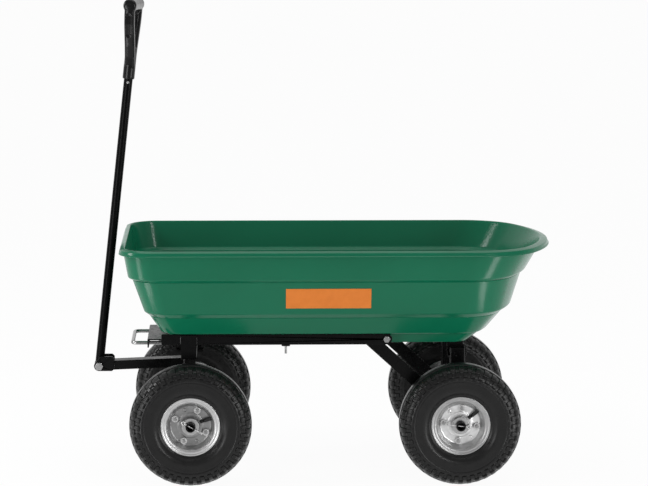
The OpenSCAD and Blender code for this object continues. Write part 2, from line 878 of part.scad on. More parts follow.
module clevis_cheeks() {
    drop_h = cheek_r - seat_gap;
    chamfer = cheek_t;
    color(steel_black)
        for (side = [-1, 1])
            on_side(side)
                at_pivot()
                    difference() {
                        slab_y(drawbar_w / 2, drawbar_w / 2 + cheek_t) {
                            circle(r = cheek_r);
                            polygon([cheek_r * [-cos(cheek_angle), sin(cheek_angle)],
                                [cheek_r / 4, cheek_h],
                                [cheek_len - chamfer, cheek_h], [cheek_len, cheek_h - chamfer],
                                [cheek_len, chamfer - drop_h], [cheek_len - chamfer, -drop_h],
                                [0, -drop_h]]);
                        }
                        bar_y(0, 0, clevis_bolt_d + 2 * run_gap, 0, drawbar_w);
                    }
}

module clevis_bolt() {
    out = drawbar_w / 2 + cheek_t;
    head_h = clevis_bolt_d * head_share;
    color(zinc)
        at_pivot() {
            bar_y(0, 0, clevis_bolt_d, -out, out);
            translate([0, -out, 0])
                rotate([90, 0, 0])
                    hex(clevis_bolt_d, head_h);
            translate([0, out, 0])
                rotate([-90, 0, 0])
                    hex(clevis_bolt_d, head_h);
        }
}

// Handle: Z runs up the tube from the pivot
module at_handle() {
    at_pivot()
        rotate([0, handle_lean, 0])
            children();
}

module handle_eye() {
    half = drawbar_w / 2 - 3 * seat_gap;
    color(steel_black)
        at_pivot()
            difference() {
                bar_y(0, 0, eye_d, -half, half);
                bar_y(0, 0, clevis_bolt_d + 2 * run_gap, -half - overrun_len, half + overrun_len);
            }
}

socket_depth_share = 0.4;
socket_depth = grip_len * socket_depth_share;

module handle_tube() {
    top = grip_reach + socket_depth - seat_gap;
    color(steel_black)
        difference() {
            at_handle()
                difference() {
                    cylinder(d = tube_d, h = top);
                    translate([0, 0, eye_d])
                        cylinder(d = tube_d - 2 * tube_wall_t, h = top);
                }
            at_pivot()
                bar_y(0, 0, eye_d, -drawbar_w, drawbar_w);
        }
}

// Grip outline, seen square to its cross bar: two arms that spread from the socket to the bar
grip_arm_share = 0.15;
grip_neck_share = 0.3;

module grip_frame() {
    half = grip_w / 2;
    arm = grip_w * grip_arm_share;
    neck = grip_len * grip_neck_share;
    difference() {
        polygon([[-socket_d / 2, neck / 2], [-socket_d / 2, neck], [-half, grip_len - arm],
            [-half, grip_len], [half, grip_len], [half, grip_len - arm],
            [socket_d / 2, neck], [socket_d / 2, neck / 2]]);
        polygon([[-tube_d / 2, neck + 2 * arm], [arm - half, grip_len - arm / 2],
            [arm - half, grip_len + overrun_len], [half - arm, grip_len + overrun_len],
            [half - arm, grip_len - arm / 2], [tube_d / 2, neck + 2 * arm]]);
    }
}

module grip_bow() {
    dome = grip_bar_d / 6;
    translate([grip_arm_t / 2, 0, 0])
        rotate([90, 0, -90])
            linear_extrude(grip_arm_t)
                grip_frame();
    bar_y(0, grip_len, grip_bar_d, dome - grip_w / 2, grip_w / 2 - dome);
    for (side = [-1, 1])
        on_side(side)
            translate([0, grip_w / 2 - dome, grip_len])
                rotate([-90, 0, 0])
                    cylinder(d1 = grip_bar_d, d2 = grip_bar_d - dome, h = dome);
}

module grip() {
    neck = grip_len * grip_neck_share;
    color([0.1, 0.1, 0.1])
        at_handle()
            translate([0, 0, grip_reach])
                difference() {
                    union() {
                        cylinder(d = socket_d, h = neck + tube_d);
                        translate([0, 0, neck])
                            rotate([0, -grip_bend, grip_turn])
                                translate([0, 0, -neck])
                                    grip_bow();
                    }
                    translate([0, 0, -overrun_len])
                        cylinder(d = tube_d + 2 * run_gap, h = socket_depth + overrun_len);
                }
}

// Wheels
seat_r = rim_seat_d / 2;
flange_r = rim_flange_d / 2;
tyre_mid_r = (flange_r + tyre_d / 2) / 2 - tyre_wall_t / 2;
side_power_share = 0.7;
crown_power_share = 0.8;
tyre_low_angle = -45;
tyre_steps = 18;

// Point of the tyre section at an angle from its side, shrunk at the tread and at the sides
function section_point(a, tread_in, side_in) =
    let (s = sin(a), c = cos(a))
    [tyre_mid_r + (tyre_d / 2 - tyre_mid_r - tread_in) * sign(s) * pow(abs(s), crown_power_share),
        (tyre_w / 2 - side_in) * sign(c) * pow(abs(c), side_power_share)];

// Tyre section above the rim
function section(tread_in, side_in) =
    [for (i = [0 : tyre_steps])
        section_point(tyre_low_angle + (180 - 2 * tyre_low_angle) * i / tyre_steps, tread_in, side_in)];

// Tread on the section, as angles from the tyre's side: rows of blocks and the grooves that part them
lug_rows = [[40, 74], [17, 35]];
groove_rows = [[74, 80], [35, 40]];

// Cut into the section between two angles, as deep as the tread
module tread_cut(angles) {
    low = section_point(angles[0], 0, 0);
    span = section_point(angles[1], 0, 0) - low;
    translate(low)
        rotate(atan2(span[1], span[0]))
            translate([0, -lug_h])
                square([norm(span), lug_h + tyre_wall_t]);
}

// Gaps between the blocks of both rows on one side of the tyre, the rows staggered by half a block
module tread_gaps() {
    for (row = [0 : len(lug_rows) - 1])
        for (k = [0 : lug_count - 1])
            rotate([0, 0, 360 * (k + row / len(lug_rows)) / lug_count])
                rotate([90, 0, 0])
                    linear_extrude(lug_gap, center = true)
                        tread_cut(lug_rows[row]);
}

bead_z = rim_w / 2 - rim_sheet_t - seat_gap;
valve_z = disc_depth + rim_sheet_t + 5 * seat_gap + valve_d / 2;
bead_t = bead_z - valve_z - valve_d / 2 - 2 * seat_gap;

// Closed outline of the space inside the tyre, shrunk by a skin
function cavity(skin) = concat(
    [[seat_r + seat_gap + skin, bead_z - bead_t - skin],
        [flange_r + skin / 2, bead_z - tyre_wall_t - skin]],
    [for (p = section(tread_t + skin, tyre_wall_t + skin)) if (p[0] > flange_r + tyre_wall_t) p],
    [[flange_r + skin / 2, -(bead_z - tyre_wall_t - skin)],
        [seat_r + seat_gap + skin, -(bead_z - bead_t - skin)]]);

module tyre() {
    outer = concat([[seat_r + seat_gap, bead_z], [flange_r + seat_gap, bead_z]],
        [for (p = section(0, 0)) if (p[0] > flange_r + 4 * seat_gap) p],
        [[flange_r + seat_gap, -bead_z], [seat_r + seat_gap, -bead_z]]);
    mouth_r = seat_r - overrun_len;
    gap = concat([[mouth_r, bead_z - bead_t]], cavity(0), [[mouth_r, bead_t - bead_z]]);
    color(rubber_black)
        difference() {
            rotate_extrude()
                difference() {
                    polygon(outer);
                    polygon(gap);
                    for (side = [0, 1], row = groove_rows)
                        mirror([0, side])
                            tread_cut(row);
                }
            for (side = [0, 1])
                mirror([0, 0, side])
                    tread_gaps();
        }
}

module inner_tube(spin) {
    color(rubber_black) {
        difference() {
            union() {
                rotate_extrude()
                    polygon(cavity(3 * seat_gap));
                rotate([0, 0, spin])
                    translate([seat_r - rim_sheet_t - valve_len, 0, valve_z])
                        rotate([0, 90, 0])
                            cylinder(d = valve_d, h = valve_len + flange_r - seat_r + tyre_wall_t);
            }
            rotate_extrude()
                polygon(cavity(3 * seat_gap + tube_skin_t));
        }
    }
}

roll_share = 0.75;
boss_share = 0.4;

// One pressed rim half: barrel, flange with a rolled edge, disc with a raised boss
module rim_half(spin, bored) {
    barrel_r = seat_r - rim_sheet_t;
    hub_r = hub_d / 2 + seat_gap;
    roll = rim_sheet_t * roll_share;
    color(zinc)
        difference() {
            rotate_extrude() {
                translate([barrel_r, run_gap])
                    square([rim_sheet_t, rim_w / 2 - run_gap]);
                translate([barrel_r, rim_w / 2 - rim_sheet_t])
                    square([flange_r - roll - barrel_r, rim_sheet_t]);
                translate([flange_r - roll, rim_w / 2 - rim_sheet_t + roll])
                    circle(roll);
                translate([hub_r, disc_depth - rim_sheet_t / 2])
                    square([barrel_r - hub_r + rim_sheet_t / 2, rim_sheet_t]);
                translate([hub_r, disc_depth])
                    square([hub_d * boss_share, rim_sheet_t]);
            }
            for (k = [0 : 3])
                rotate([0, 0, spin + 45 + 90 * k])
                    translate([bolt_circle_d / 2, 0, disc_depth - rim_sheet_t])
                        cylinder(d = rim_bolt_d + 2 * seat_gap, h = 2 * rim_sheet_t);
            if (bored)
                rotate([0, 0, spin])
                    translate([barrel_r - rim_sheet_t, 0, valve_z])
                        rotate([0, 90, 0])
                            cylinder(d = valve_d + 4 * seat_gap, h = 3 * rim_sheet_t);
        }
}

module rim_outer(spin) { rim_half(spin, true); }

module rim_inner(spin) {
    mirror([0, 0, 1])
        rim_half(spin, false);
}

module hub() {
    color(steel_black)
        difference() {
            cylinder(d = hub_d, h = hub_len, center = true);
            cylinder(d = axle_d + 2 * run_gap, h = hub_len + 2 * overrun_len, center = true);
        }
}

module rim_bolts(spin) {
    face = disc_depth + rim_sheet_t / 2;
    head_h = rim_bolt_d * head_share;
    color(zinc)
        for (k = [0 : 3])
            rotate([0, 0, spin + 45 + 90 * k])
                translate([bolt_circle_d / 2, 0, 0]) {
                    cylinder(d = rim_bolt_d, h = 2 * face, center = true);
                    for (side = [0, 1])
                        mirror([0, 0, side])
                            translate([0, 0, face])
                                hex(rim_bolt_d, head_h);
                }
}

// Turn of each wheel about its axle, which places its valve
spin_fl = 21;
spin_fr = 150;
spin_rl = 39;
spin_rr = 250;

module tyre_fl() { at_wheel(front_x, -1) tyre(); }
module tyre_fr() { at_wheel(front_x, 1) tyre(); }
module tyre_rl() { at_wheel(rear_x, -1) tyre(); }
module tyre_rr() { at_wheel(rear_x, 1) tyre(); }
module inner_tube_fl() { at_wheel(front_x, -1) inner_tube(spin_fl); }
module inner_tube_fr() { at_wheel(front_x, 1) inner_tube(spin_fr); }
module inner_tube_rl() { at_wheel(rear_x, -1) inner_tube(spin_rl); }
module inner_tube_rr() { at_wheel(rear_x, 1) inner_tube(spin_rr); }
module rim_outer_fl() { at_wheel(front_x, -1) rim_outer(spin_fl); }
module rim_outer_fr() { at_wheel(front_x, 1) rim_outer(spin_fr); }
module rim_outer_rl() { at_wheel(rear_x, -1) rim_outer(spin_rl); }
module rim_outer_rr() { at_wheel(rear_x, 1) rim_outer(spin_rr); }
module rim_inner_fl() { at_wheel(front_x, -1) rim_inner(spin_fl); }
module rim_inner_fr() { at_wheel(front_x, 1) rim_inner(spin_fr); }
module rim_inner_rl() { at_wheel(rear_x, -1) rim_inner(spin_rl); }
module rim_inner_rr() { at_wheel(rear_x, 1) rim_inner(spin_rr); }
module hub_fl() { at_wheel(front_x, -1) hub(); }
module hub_fr() { at_wheel(front_x, 1) hub(); }
module hub_rl() { at_wheel(rear_x, -1) hub(); }
module hub_rr() { at_wheel(rear_x, 1) hub(); }
module rim_bolts_fl() { at_wheel(front_x, -1) rim_bolts(spin_fl); }
module rim_bolts_fr() { at_wheel(front_x, 1) rim_bolts(spin_fr); }
module rim_bolts_rl() { at_wheel(rear_x, -1) rim_bolts(spin_rl); }
module rim_bolts_rr() { at_wheel(rear_x, 1) rim_bolts(spin_rr); }

rail_left();
rail_right();
front_bolster();
catch_plate();
cross_strap();
strap_studs();
brace_left();
brace_right();
rail_bolts();
rear_beam();
rear_axle();
post_left();
post_right();
hinge_rod();
rear_washers();
rear_cotters();
tub();
label_plate();
hinge_ear_left();
hinge_ear_right();
latch_bracket();
tub_bolts();
latch_loop();
front_beam();
front_axle();
front_column();
king_pin();
thrust_washer();
drawbar();
clevis_cheeks();
clevis_bolt();
front_washers();
front_cotters();
handle_eye();
handle_tube();
grip();
tyre_fl();
inner_tube_fl();
rim_outer_fl();
rim_inner_fl();
hub_fl();
rim_bolts_fl();
tyre_fr();
inner_tube_fr();
rim_outer_fr();
rim_inner_fr();
hub_fr();
rim_bolts_fr();
tyre_rl();
inner_tube_rl();
rim_outer_rl();
rim_inner_rl();
hub_rl();
rim_bolts_rl();
tyre_rr();
inner_tube_rr();
rim_outer_rr();
rim_inner_rr();
hub_rr();
rim_bolts_rr();
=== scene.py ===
"""Looks of the tipping dump cart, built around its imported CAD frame.

Metres, in the frame of the part: handle end at -X, left side at -Y, ground at Z = 0.
The steel nodes stay as they are and get rounded edges and paint. The moulded tub, the tyres,
the pressed rims, the fasteners and the grip are modelled again here with their fine forms.
"""

import json
import math

import bpy
from mathutils import Matrix, Vector


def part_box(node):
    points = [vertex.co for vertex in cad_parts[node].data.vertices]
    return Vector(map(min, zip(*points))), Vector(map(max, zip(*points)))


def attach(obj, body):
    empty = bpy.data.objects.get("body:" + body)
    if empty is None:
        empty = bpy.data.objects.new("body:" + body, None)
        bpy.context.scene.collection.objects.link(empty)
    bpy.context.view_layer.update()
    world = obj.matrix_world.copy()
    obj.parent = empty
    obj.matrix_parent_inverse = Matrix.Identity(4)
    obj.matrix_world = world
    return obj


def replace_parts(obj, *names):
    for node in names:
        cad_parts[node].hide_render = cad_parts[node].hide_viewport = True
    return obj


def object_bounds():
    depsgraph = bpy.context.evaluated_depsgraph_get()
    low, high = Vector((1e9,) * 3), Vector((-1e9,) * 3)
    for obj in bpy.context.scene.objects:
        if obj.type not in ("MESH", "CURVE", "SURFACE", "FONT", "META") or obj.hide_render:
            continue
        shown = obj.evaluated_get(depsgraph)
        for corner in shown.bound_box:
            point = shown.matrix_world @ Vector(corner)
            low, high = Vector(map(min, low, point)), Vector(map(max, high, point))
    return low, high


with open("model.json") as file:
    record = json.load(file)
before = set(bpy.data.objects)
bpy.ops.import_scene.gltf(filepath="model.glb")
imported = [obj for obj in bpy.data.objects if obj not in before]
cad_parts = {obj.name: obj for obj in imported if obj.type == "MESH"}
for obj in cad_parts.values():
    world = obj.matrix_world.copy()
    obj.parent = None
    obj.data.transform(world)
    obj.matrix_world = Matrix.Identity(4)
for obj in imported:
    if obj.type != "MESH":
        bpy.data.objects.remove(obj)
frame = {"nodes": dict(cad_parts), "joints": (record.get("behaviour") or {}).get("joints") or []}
cad_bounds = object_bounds()
nodes = frame["nodes"]
joints = {j["name"]: j for j in frame["joints"]}
MM = 0.001
X_AXIS, Y_AXIS, Z_AXIS = Vector((1, 0, 0)), Vector((0, 1, 0)), Vector((0, 0, 1))


# Places and turns

def lerp(a, b, t):
    return a + (b - a) * t


def middle(values):
    return (min(values) + max(values)) / 2


def on_circle(radius, angle, z):
    return (radius * math.cos(angle), radius * math.sin(angle), z)


def spin(degrees, axis):
    return Matrix.Rotation(math.radians(degrees), 4, axis)


def shift(x, y, z):
    return Matrix.Translation((x, y, z))


# Meshes and objects

# Edges of the CAD nodes that stay: rounding by kind, the bend that makes an edge, and points taken as one
STEEL_EDGE, FITTING_EDGE, WASHER_EDGE, LABEL_EDGE = 0.0009, 0.0006, 0.0005, 0.0003
EDGE_ANGLE, EDGE_SEGMENTS, SAME_POINT = math.radians(32), 2, 0.00001
# A bend of a rounded path takes at most this share of the run to the next point
MAX_BEND_SHARE = 0.48


def build_mesh(name, verts, faces, material_indices=None):
    mesh = bpy.data.meshes.new(name)
    mesh.from_pydata(verts, [], faces)
    if material_indices:
        mesh.polygons.foreach_set("material_index", material_indices)
    mesh.polygons.foreach_set("use_smooth", [True] * len(faces))
    mesh.update()
    return mesh


def place(name, mesh, body, materials, matrix=None):
    """A new piece that rides on a body."""
    obj = bpy.data.objects.new(name, mesh)
    bpy.context.scene.collection.objects.link(obj)
    if not mesh.materials:
        for m in materials:
            mesh.materials.append(m)
    if matrix is not None:
        obj.matrix_world = matrix
    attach(obj, body)
    return obj


def add_modifier(obj, kind, **settings):
    modifier = obj.modifiers.new(kind.title(), kind)
    for key, value in settings.items():
        setattr(modifier, key, value)


def dress(name, material, edge):
    """A CAD node that stays: a finish, and rounded edges with even shading."""
    obj = nodes[name]
    mesh = obj.data
    if "custom_normal" in mesh.attributes:
        mesh.attributes.remove(mesh.attributes["custom_normal"])
    mesh.polygons.foreach_set("use_smooth", [True] * len(mesh.polygons))
    mesh.materials.clear()
    mesh.materials.append(material)
    add_modifier(obj, "WELD", merge_threshold=SAME_POINT)
    add_modifier(obj, "BEVEL", width=edge, segments=EDGE_SEGMENTS, limit_method="ANGLE",
                 angle_limit=EDGE_ANGLE, use_clamp_overlap=True)
    add_modifier(obj, "WEIGHTED_NORMAL", keep_sharp=True)


class Solid:
    """Collects vertices and faces of one piece; index is the material of a face in the piece's list."""

    def __init__(self):
        self.verts, self.faces, self.indices = [], [], []

    def add(self, verts, faces, index=0, matrix=None):
        base = len(self.verts)
        self.verts += [tuple(matrix @ Vector(v)) if matrix else tuple(v) for v in verts]
        self.faces += [tuple(base + i for i in f) for f in faces]
        self.indices += [index] * len(faces)

    def loft(self, rings, index=0, matrix=None, closed_path=False):
        """Quads between rings of points; a ring is a closed outline, and an open path gets end caps."""
        n, count = len(rings[0]), len(rings)
        verts = [p for r in rings for p in r]
        faces = []
        for i in range(count if closed_path else count - 1):
            a, b = i * n, (i + 1) % count * n
            faces += [(a + j, a + (j + 1) % n, b + (j + 1) % n, b + j) for j in range(n)]
        if not closed_path:
            faces += [tuple(reversed(range(n))), tuple(range((count - 1) * n, count * n))]
        self.add(verts, faces, index, matrix)

    def turned(self, profile, steps, index=0, matrix=None, closed=False):
        """A profile of (radius, height) turned about Z."""
        rings = [[on_circle(r, 2 * math.pi * k / steps, z) for k in range(steps)] for r, z in profile]
        self.loft(rings, index, matrix, closed_path=closed)

    def mesh(self, name):
        return build_mesh(name, self.verts, self.faces, self.indices)


def rounded_path(points, radii, steps):
    """A polyline with each corner replaced by a curve; radius 0 keeps the corner."""
    out = []
    for i, p in enumerate(points):
        if i in (0, len(points) - 1) or not radii[i]:
            out.append(p)
            continue
        before, after = points[i - 1], points[i + 1]
        a = p + (before - p) * min(radii[i] / (before - p).length, MAX_BEND_SHARE)
        c = p + (after - p) * min(radii[i] / (after - p).length, MAX_BEND_SHARE)
        for k in range(steps + 1):
            t = k / steps
            out.append((a * (1 - t) + p * t) * (1 - t) + (p * (1 - t) + c * t) * t)
    return out


# Materials

# The band that most values of a noise lie in
NOISE_LOW, NOISE_HIGH = 0.3, 0.7
# Places of the colour sockets of a Mix node
MIX_A, MIX_B, MIX_RESULT = 6, 7, 2


def grey(value):
    return (value, value, value)


class Finish:
    """A Principled material whose colour, roughness and relief come from procedural nodes."""

    def __init__(self, name, **values):
        self.material = bpy.data.materials.new(name)
        self.material.use_nodes = True
        self.tree = self.material.node_tree
        self.shader = self.tree.nodes["Principled BSDF"]
        for socket, value in values.items():
            self.shader.inputs[socket.replace("_", " ")].default_value = value
        self.coords = self.node("ShaderNodeTexCoord").outputs["Object"]
        self.bump = None

    def node(self, kind, **settings):
        made = self.tree.nodes.new(kind)
        for key, value in settings.items():
            setattr(made, key, value)
        return made

    def link(self, source, target):
        self.tree.links.new(source, target)

    def stretched(self, scale):
        mapping = self.node("ShaderNodeMapping")
        mapping.inputs["Scale"].default_value = scale
        self.link(self.coords, mapping.inputs["Vector"])
        return mapping.outputs["Vector"]

    def noise(self, scale, detail=4.0, roughness=0.55, vector=None):
        made = self.node("ShaderNodeTexNoise")
        for socket, value in (("Scale", scale), ("Detail", detail), ("Roughness", roughness)):
            made.inputs[socket].default_value = value
        self.link(vector or self.coords, made.inputs["Vector"])
        return made.outputs["Fac"]

    def ramp(self, source, stops):
        made = self.node("ShaderNodeValToRGB")
        elements = made.color_ramp.elements
        while len(elements) < len(stops):
            elements.new(0.5)
        for element, (at, colour) in zip(elements, stops):
            element.position = at
            element.color = (*colour, 1.0)
        self.link(source, made.inputs["Fac"])
        return made.outputs["Color"]

    def two_tone(self, source, low_colour, high_colour):
        return self.ramp(source, [(NOISE_LOW, low_colour), (NOISE_HIGH, high_colour)])

    def spread(self, source, low, high, start=NOISE_LOW, end=NOISE_HIGH):
        made = self.node("ShaderNodeMapRange")
        for socket, value in (("From Min", start), ("From Max", end), ("To Min", low), ("To Max", high)):
            made.inputs[socket].default_value = value
        self.link(source, made.inputs["Value"])
        return made.outputs["Result"]

    def blend(self, factor, a, b):
        made = self.node("ShaderNodeMix", data_type="RGBA")
        self.link(factor, made.inputs["Factor"])
        self.link(a, made.inputs[MIX_A])
        self.link(b, made.inputs[MIX_B])
        return made.outputs[MIX_RESULT]

    def set(self, socket, source):
        self.link(source, self.shader.inputs[socket])

    def relief(self, source, distance, strength):
        made = self.node("ShaderNodeBump")
        made.inputs["Distance"].default_value = distance
        made.inputs["Strength"].default_value = strength
        self.link(source, made.inputs["Height"])
        if self.bump:
            self.link(self.bump, made.inputs["Normal"])
        self.bump = made.outputs["Normal"]
        self.link(self.bump, self.shader.inputs["Normal"])


def tub_finish():
    """Moulded plastic: faint clouds in the green, scuffs in the gloss, slow waves under a fine grain."""
    f = Finish("tub_moulded_green", IOR=1.5, Specular_IOR_Level=0.22)
    clouds = f.noise(5.0, detail=3.0)
    f.set("Base Color", f.ramp(clouds, [(0.25, (0.0035, 0.118, 0.058)), (0.75, (0.0045, 0.134, 0.067))]))
    scuffs = f.noise(60.0, detail=6.0, roughness=0.7, vector=f.stretched((1.0, 1.0, 0.25)))
    f.set("Roughness", f.spread(scuffs, 0.16, 0.22))
    f.relief(f.noise(14.0, detail=2.0), distance=0.0012, strength=0.3)
    f.relief(f.noise(1100.0, detail=2.0), distance=0.00006, strength=0.4)
    return f.material


def steel_finish(name, gloss):
    """Black powder coat: paler where it is worn, with a fine grain and slow waves."""
    f = Finish(name, IOR=1.5, Specular_IOR_Level=gloss)
    wear = f.noise(35.0, detail=6.0, roughness=0.7)
    f.set("Base Color", f.ramp(wear, [(0.3, (0.0012, 0.0012, 0.0013)), (0.62, (0.002, 0.002, 0.0022)),
                                      (0.8, (0.0045, 0.0045, 0.005))]))
    f.set("Roughness", f.spread(f.noise(90.0), 0.2, 0.34))
    f.relief(f.noise(420.0, detail=3.0), distance=0.00012, strength=0.3)
    f.relief(f.noise(25.0, detail=2.0), distance=0.0006, strength=0.25)
    return f.material


def zinc_finish(name, roughness, shade):
    """Dull plated metal: fine streaks in the colour and mottled gloss, each within a range."""
    f = Finish(name, Metallic=1.0)
    streaks = f.noise(180.0, detail=5.0, roughness=0.6)
    f.set("Base Color", f.two_tone(streaks, *map(grey, shade)))
    f.set("Roughness", f.spread(f.noise(90.0, detail=5.0, roughness=0.6), *roughness))
    f.relief(f.noise(700.0, detail=3.0), distance=0.00003, strength=0.3)
    return f.material


# Rims: radii between which the disc's painted shade gives way to the bowl's painted light, and the bowl's
# to the flange's
PAINTED_DISC_FADE, PAINTED_BOWL_FADE = (0.0415, 0.0435), (0.0495, 0.0515)
# Painted light on the bowl wall: a brighter zinc in place of the light that the wall does not catch
BOWL_PAINTED_LIGHT = (0.7, 0.8)
# Shares by which the other shades vary
DISC_MOTTLE, FLANGE_MOTTLE = 0.2, 0.07


def rim_finish(name, painted_disc_shade, painted_flange_shade):
    """Zinc with faint turning marks around the wheel's axis; flange, bowl and disc each have a painted
    shade: lighter or darker zinc that stands in for the light each band of the rim catches.
    """
    f = Finish(name, Metallic=1.0)
    length = f.node("ShaderNodeVectorMath", operation="LENGTH")
    f.link(f.stretched((1.0, 1.0, 0.0)), length.inputs[0])
    radius = length.outputs["Value"]
    mottle = f.noise(55.0, detail=5.0, roughness=0.6)
    def mottled(shade, share):
        return f.two_tone(mottle, grey(shade * (1 - share)), grey(shade * (1 + share)))
    in_painted_bowl = f.spread(radius, 1.0, 0.0, *PAINTED_BOWL_FADE)
    in_painted_disc = f.spread(radius, 1.0, 0.0, *PAINTED_DISC_FADE)
    bowl_painted_light = f.two_tone(mottle, *map(grey, BOWL_PAINTED_LIGHT))
    outer_painted_shade = f.blend(in_painted_bowl, mottled(painted_flange_shade, FLANGE_MOTTLE), bowl_painted_light)
    f.set("Base Color", f.blend(in_painted_disc, outer_painted_shade, mottled(painted_disc_shade, DISC_MOTTLE)))
    f.set("Roughness", f.spread(mottle, 0.36, 0.44))
    turning_marks = f.noise(900.0, detail=2.0, roughness=0.5, vector=radius)
    f.relief(turning_marks, distance=0.00002, strength=0.03)
    return f.material


def tyre_finish():
    f = Finish("tyre_rubber", IOR=1.48, Specular_IOR_Level=0.3)
    dust = f.noise(30.0, detail=6.0, roughness=0.65)
    f.set("Base Color", f.two_tone(dust, (0.004, 0.004, 0.0042), (0.0078, 0.0077, 0.0076)))
    f.set("Roughness", f.spread(f.noise(120.0), 0.26, 0.38))
    f.relief(f.noise(900.0, detail=3.0), distance=0.00006, strength=0.4)
    return f.material


def plain_finish(name, colours, roughness, grain=800.0, gloss=0.3, grit=0.5):
    """Rubber or plastic between two colours, with an even grain."""
    f = Finish(name, Specular_IOR_Level=gloss)
    f.set("Base Color", f.two_tone(f.noise(45.0, detail=5.0), *colours))
    f.set("Roughness", f.spread(f.noise(150.0), *roughness))
    f.relief(f.noise(grain, detail=3.0), distance=0.00005, strength=grit)
    return f.material


TUB = tub_finish()
STEEL = steel_finish("steel_black_paint", gloss=0.13)
HANDLE = steel_finish("handle_black_paint", gloss=0.07)
WELD = steel_finish("weld_black_paint", gloss=0.6)
ZINC = zinc_finish("zinc_fittings", roughness=(0.22, 0.34), shade=(0.34, 0.46))
BRIGHT = zinc_finish("bright_pins", roughness=(0.3, 0.4), shade=(0.52, 0.62))
RIM_NUT = zinc_finish("rim_nuts", roughness=(0.34, 0.44), shade=(0.5, 0.6))
STUD_END = zinc_finish("stud_ends", roughness=(0.4, 0.5), shade=(0.26, 0.32))
# One zinc for all rims: the front discs get painted shade, the rear discs painted light and the rear
# flanges painted shade
RIM_FRONT_PAINTED_SHADE = rim_finish("rim_zinc_front_painted_shade", painted_disc_shade=0.25, painted_flange_shade=0.53)
RIM_REAR_PAINTED_LIGHT_AND_SHADE = rim_finish("rim_zinc_rear_painted_light_and_shade", painted_disc_shade=0.64, painted_flange_shade=0.37)
WIRE = zinc_finish("latch_wire", roughness=(0.2, 0.32), shade=(0.3, 0.42))
TYRE = tyre_finish()
VALVE = plain_finish("valve_rubber", (grey(0.008), grey(0.014)), roughness=(0.35, 0.55))
CAP = plain_finish("valve_cap", (grey(0.004), grey(0.008)), roughness=(0.25, 0.4))
GRIP = plain_finish("grip_black", ((0.003, 0.003, 0.0032), (0.005, 0.005, 0.0053)), roughness=(0.14, 0.24),
                    grain=600.0, gloss=0.24, grit=0.05)
MATTE = plain_finish("matte_black", (grey(0.004), grey(0.007)), roughness=(0.7, 0.85), gloss=0.05)
LABEL = plain_finish("label_orange", ((0.64, 0.175, 0.022), (0.7, 0.2, 0.028)), roughness=(0.35, 0.5),
                     grain=1500.0)

# CAD nodes that stay

for steel in ("rail_left", "rail_right", "front_bolster", "catch_plate", "cross_strap", "brace_left",
              "brace_right", "rear_beam", "rear_axle", "post_left", "post_right", "hinge_ear_left",
              "hinge_ear_right", "latch_bracket", "front_beam", "front_axle", "drawbar", "clevis_cheeks",
              "handle_eye", "hinge_rod"):
    dress(steel, STEEL, STEEL_EDGE)
dress("handle_tube", HANDLE, STEEL_EDGE)
dress("front_column", MATTE, STEEL_EDGE)
for fitting in ("strap_studs", "rail_bolts", "king_pin", "clevis_bolt", "rear_washers", "front_washers"):
    dress(fitting, ZINC, FITTING_EDGE)
for pins in ("rear_cotters", "front_cotters"):
    dress(pins, BRIGHT, FITTING_EDGE)
for wheel in ("fl", "fr", "rl", "rr"):
    dress("hub_" + wheel, ZINC, FITTING_EDGE)
dress("latch_loop", WIRE, FITTING_EDGE)
dress("thrust_washer", MATTE, WASHER_EDGE)
dress("label_plate", LABEL, LABEL_EDGE)

# Tub: the moulded shell, lofted from its outline at each level

tub_low, tub_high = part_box("tub")
HALF_W = (tub_high.y - tub_low.y) / 2
FRONT_X, NOSE_X = tub_low.x, tub_high.x
FLOOR_Z, RIM_Z = tub_low.z, tub_high.z
FLOOR_HALF_W = 0.141
# How far the floor's edge lies inside the rim, at the sides, the front and the nose
SIDE_SLOPE = HALF_W - FLOOR_HALF_W
FRONT_SLOPE, NOSE_SLOPE = 0.106, 0.166
FRONT_CORNER_R, REAR_CORNER_R, FLOOR_CORNER_R = 0.065, 0.141, 0.032
# The nose's own radius at the rim, and the share of it that is lost on the way down to the floor
NOSE_R, NOSE_R_LOSS = 0.390, 0.15
WALL = 0.004
LIP_H = 0.0125
# Levels of the outer wall from the lip down: drop from the one before, and the share of each slope reached
LEVEL_DROPS = (LIP_H, 0.0515, 0.006, 0.071, 0.010, 0.039, 0.0)
SIDE_SHARES = (0.103, 0.181, 0.259, 0.457, 0.552, 0.75, 0.961, 1)
FRONT_SHARES = (0.08, 0.179, 0.269, 0.491, 0.604, 0.835, 0.943, 1)
NOSE_SHARES = (0.09, 0.301, 0.361, 0.494, 0.59, 0.789, 0.82, 1)
# Rounding of the corners along the wall from the floor up, and round the lip
WALL_BENDS = (0.006, 0.003, 0.005, 0.0025, 0.0035, 0.0025, 0.0035)
LIP_BENDS = (0.002, 0.0015, 0.0012, 0.0006, 0.0006, 0.0008, 0.0025, 0.005)
# A fine ledge under each step of the outer wall: levels that have one, its size and its rounding
LEDGE_LEVELS, LEDGE, LEDGE_BEND = (2, 4), 0.0005, 0.0003
# The lip's outer face: the bead at its foot, how far the face leans in, and where it rounds over
BEAD_H, BEAD_OUT, LIP_LEAN, LIP_FALL = 0.0012, 0.0020, 0.0016, 0.0036
BEND_STEPS, ARC_STEPS, NOSE_STEPS, STRAIGHT_STEPS = 5, 18, 14, 10
# The raised panel of the floor, with the foot of its edge as (distance outside it, height over the floor)
PAD_LEN, PAD_W, PAD_H, PAD_CORNER, PAD_EDGE = 0.430, 0.160, 0.004, 0.016, 0.0016
PAD_FOOT = ((0.002, -0.001), (0.0015, 0.0004), (0.0004, 0.0009))
PAD_ROUND_SHARE = 0.3
PAD_STEPS = 8


def arc(centre_x, centre_y, radius, start, end, steps):
    """Points along an arc with both its ends; angles in radians."""
    angles = [lerp(start, end, k / steps) for k in range(steps + 1)]
    return [(centre_x + radius * math.cos(a), centre_y + radius * math.sin(a)) for a in angles]


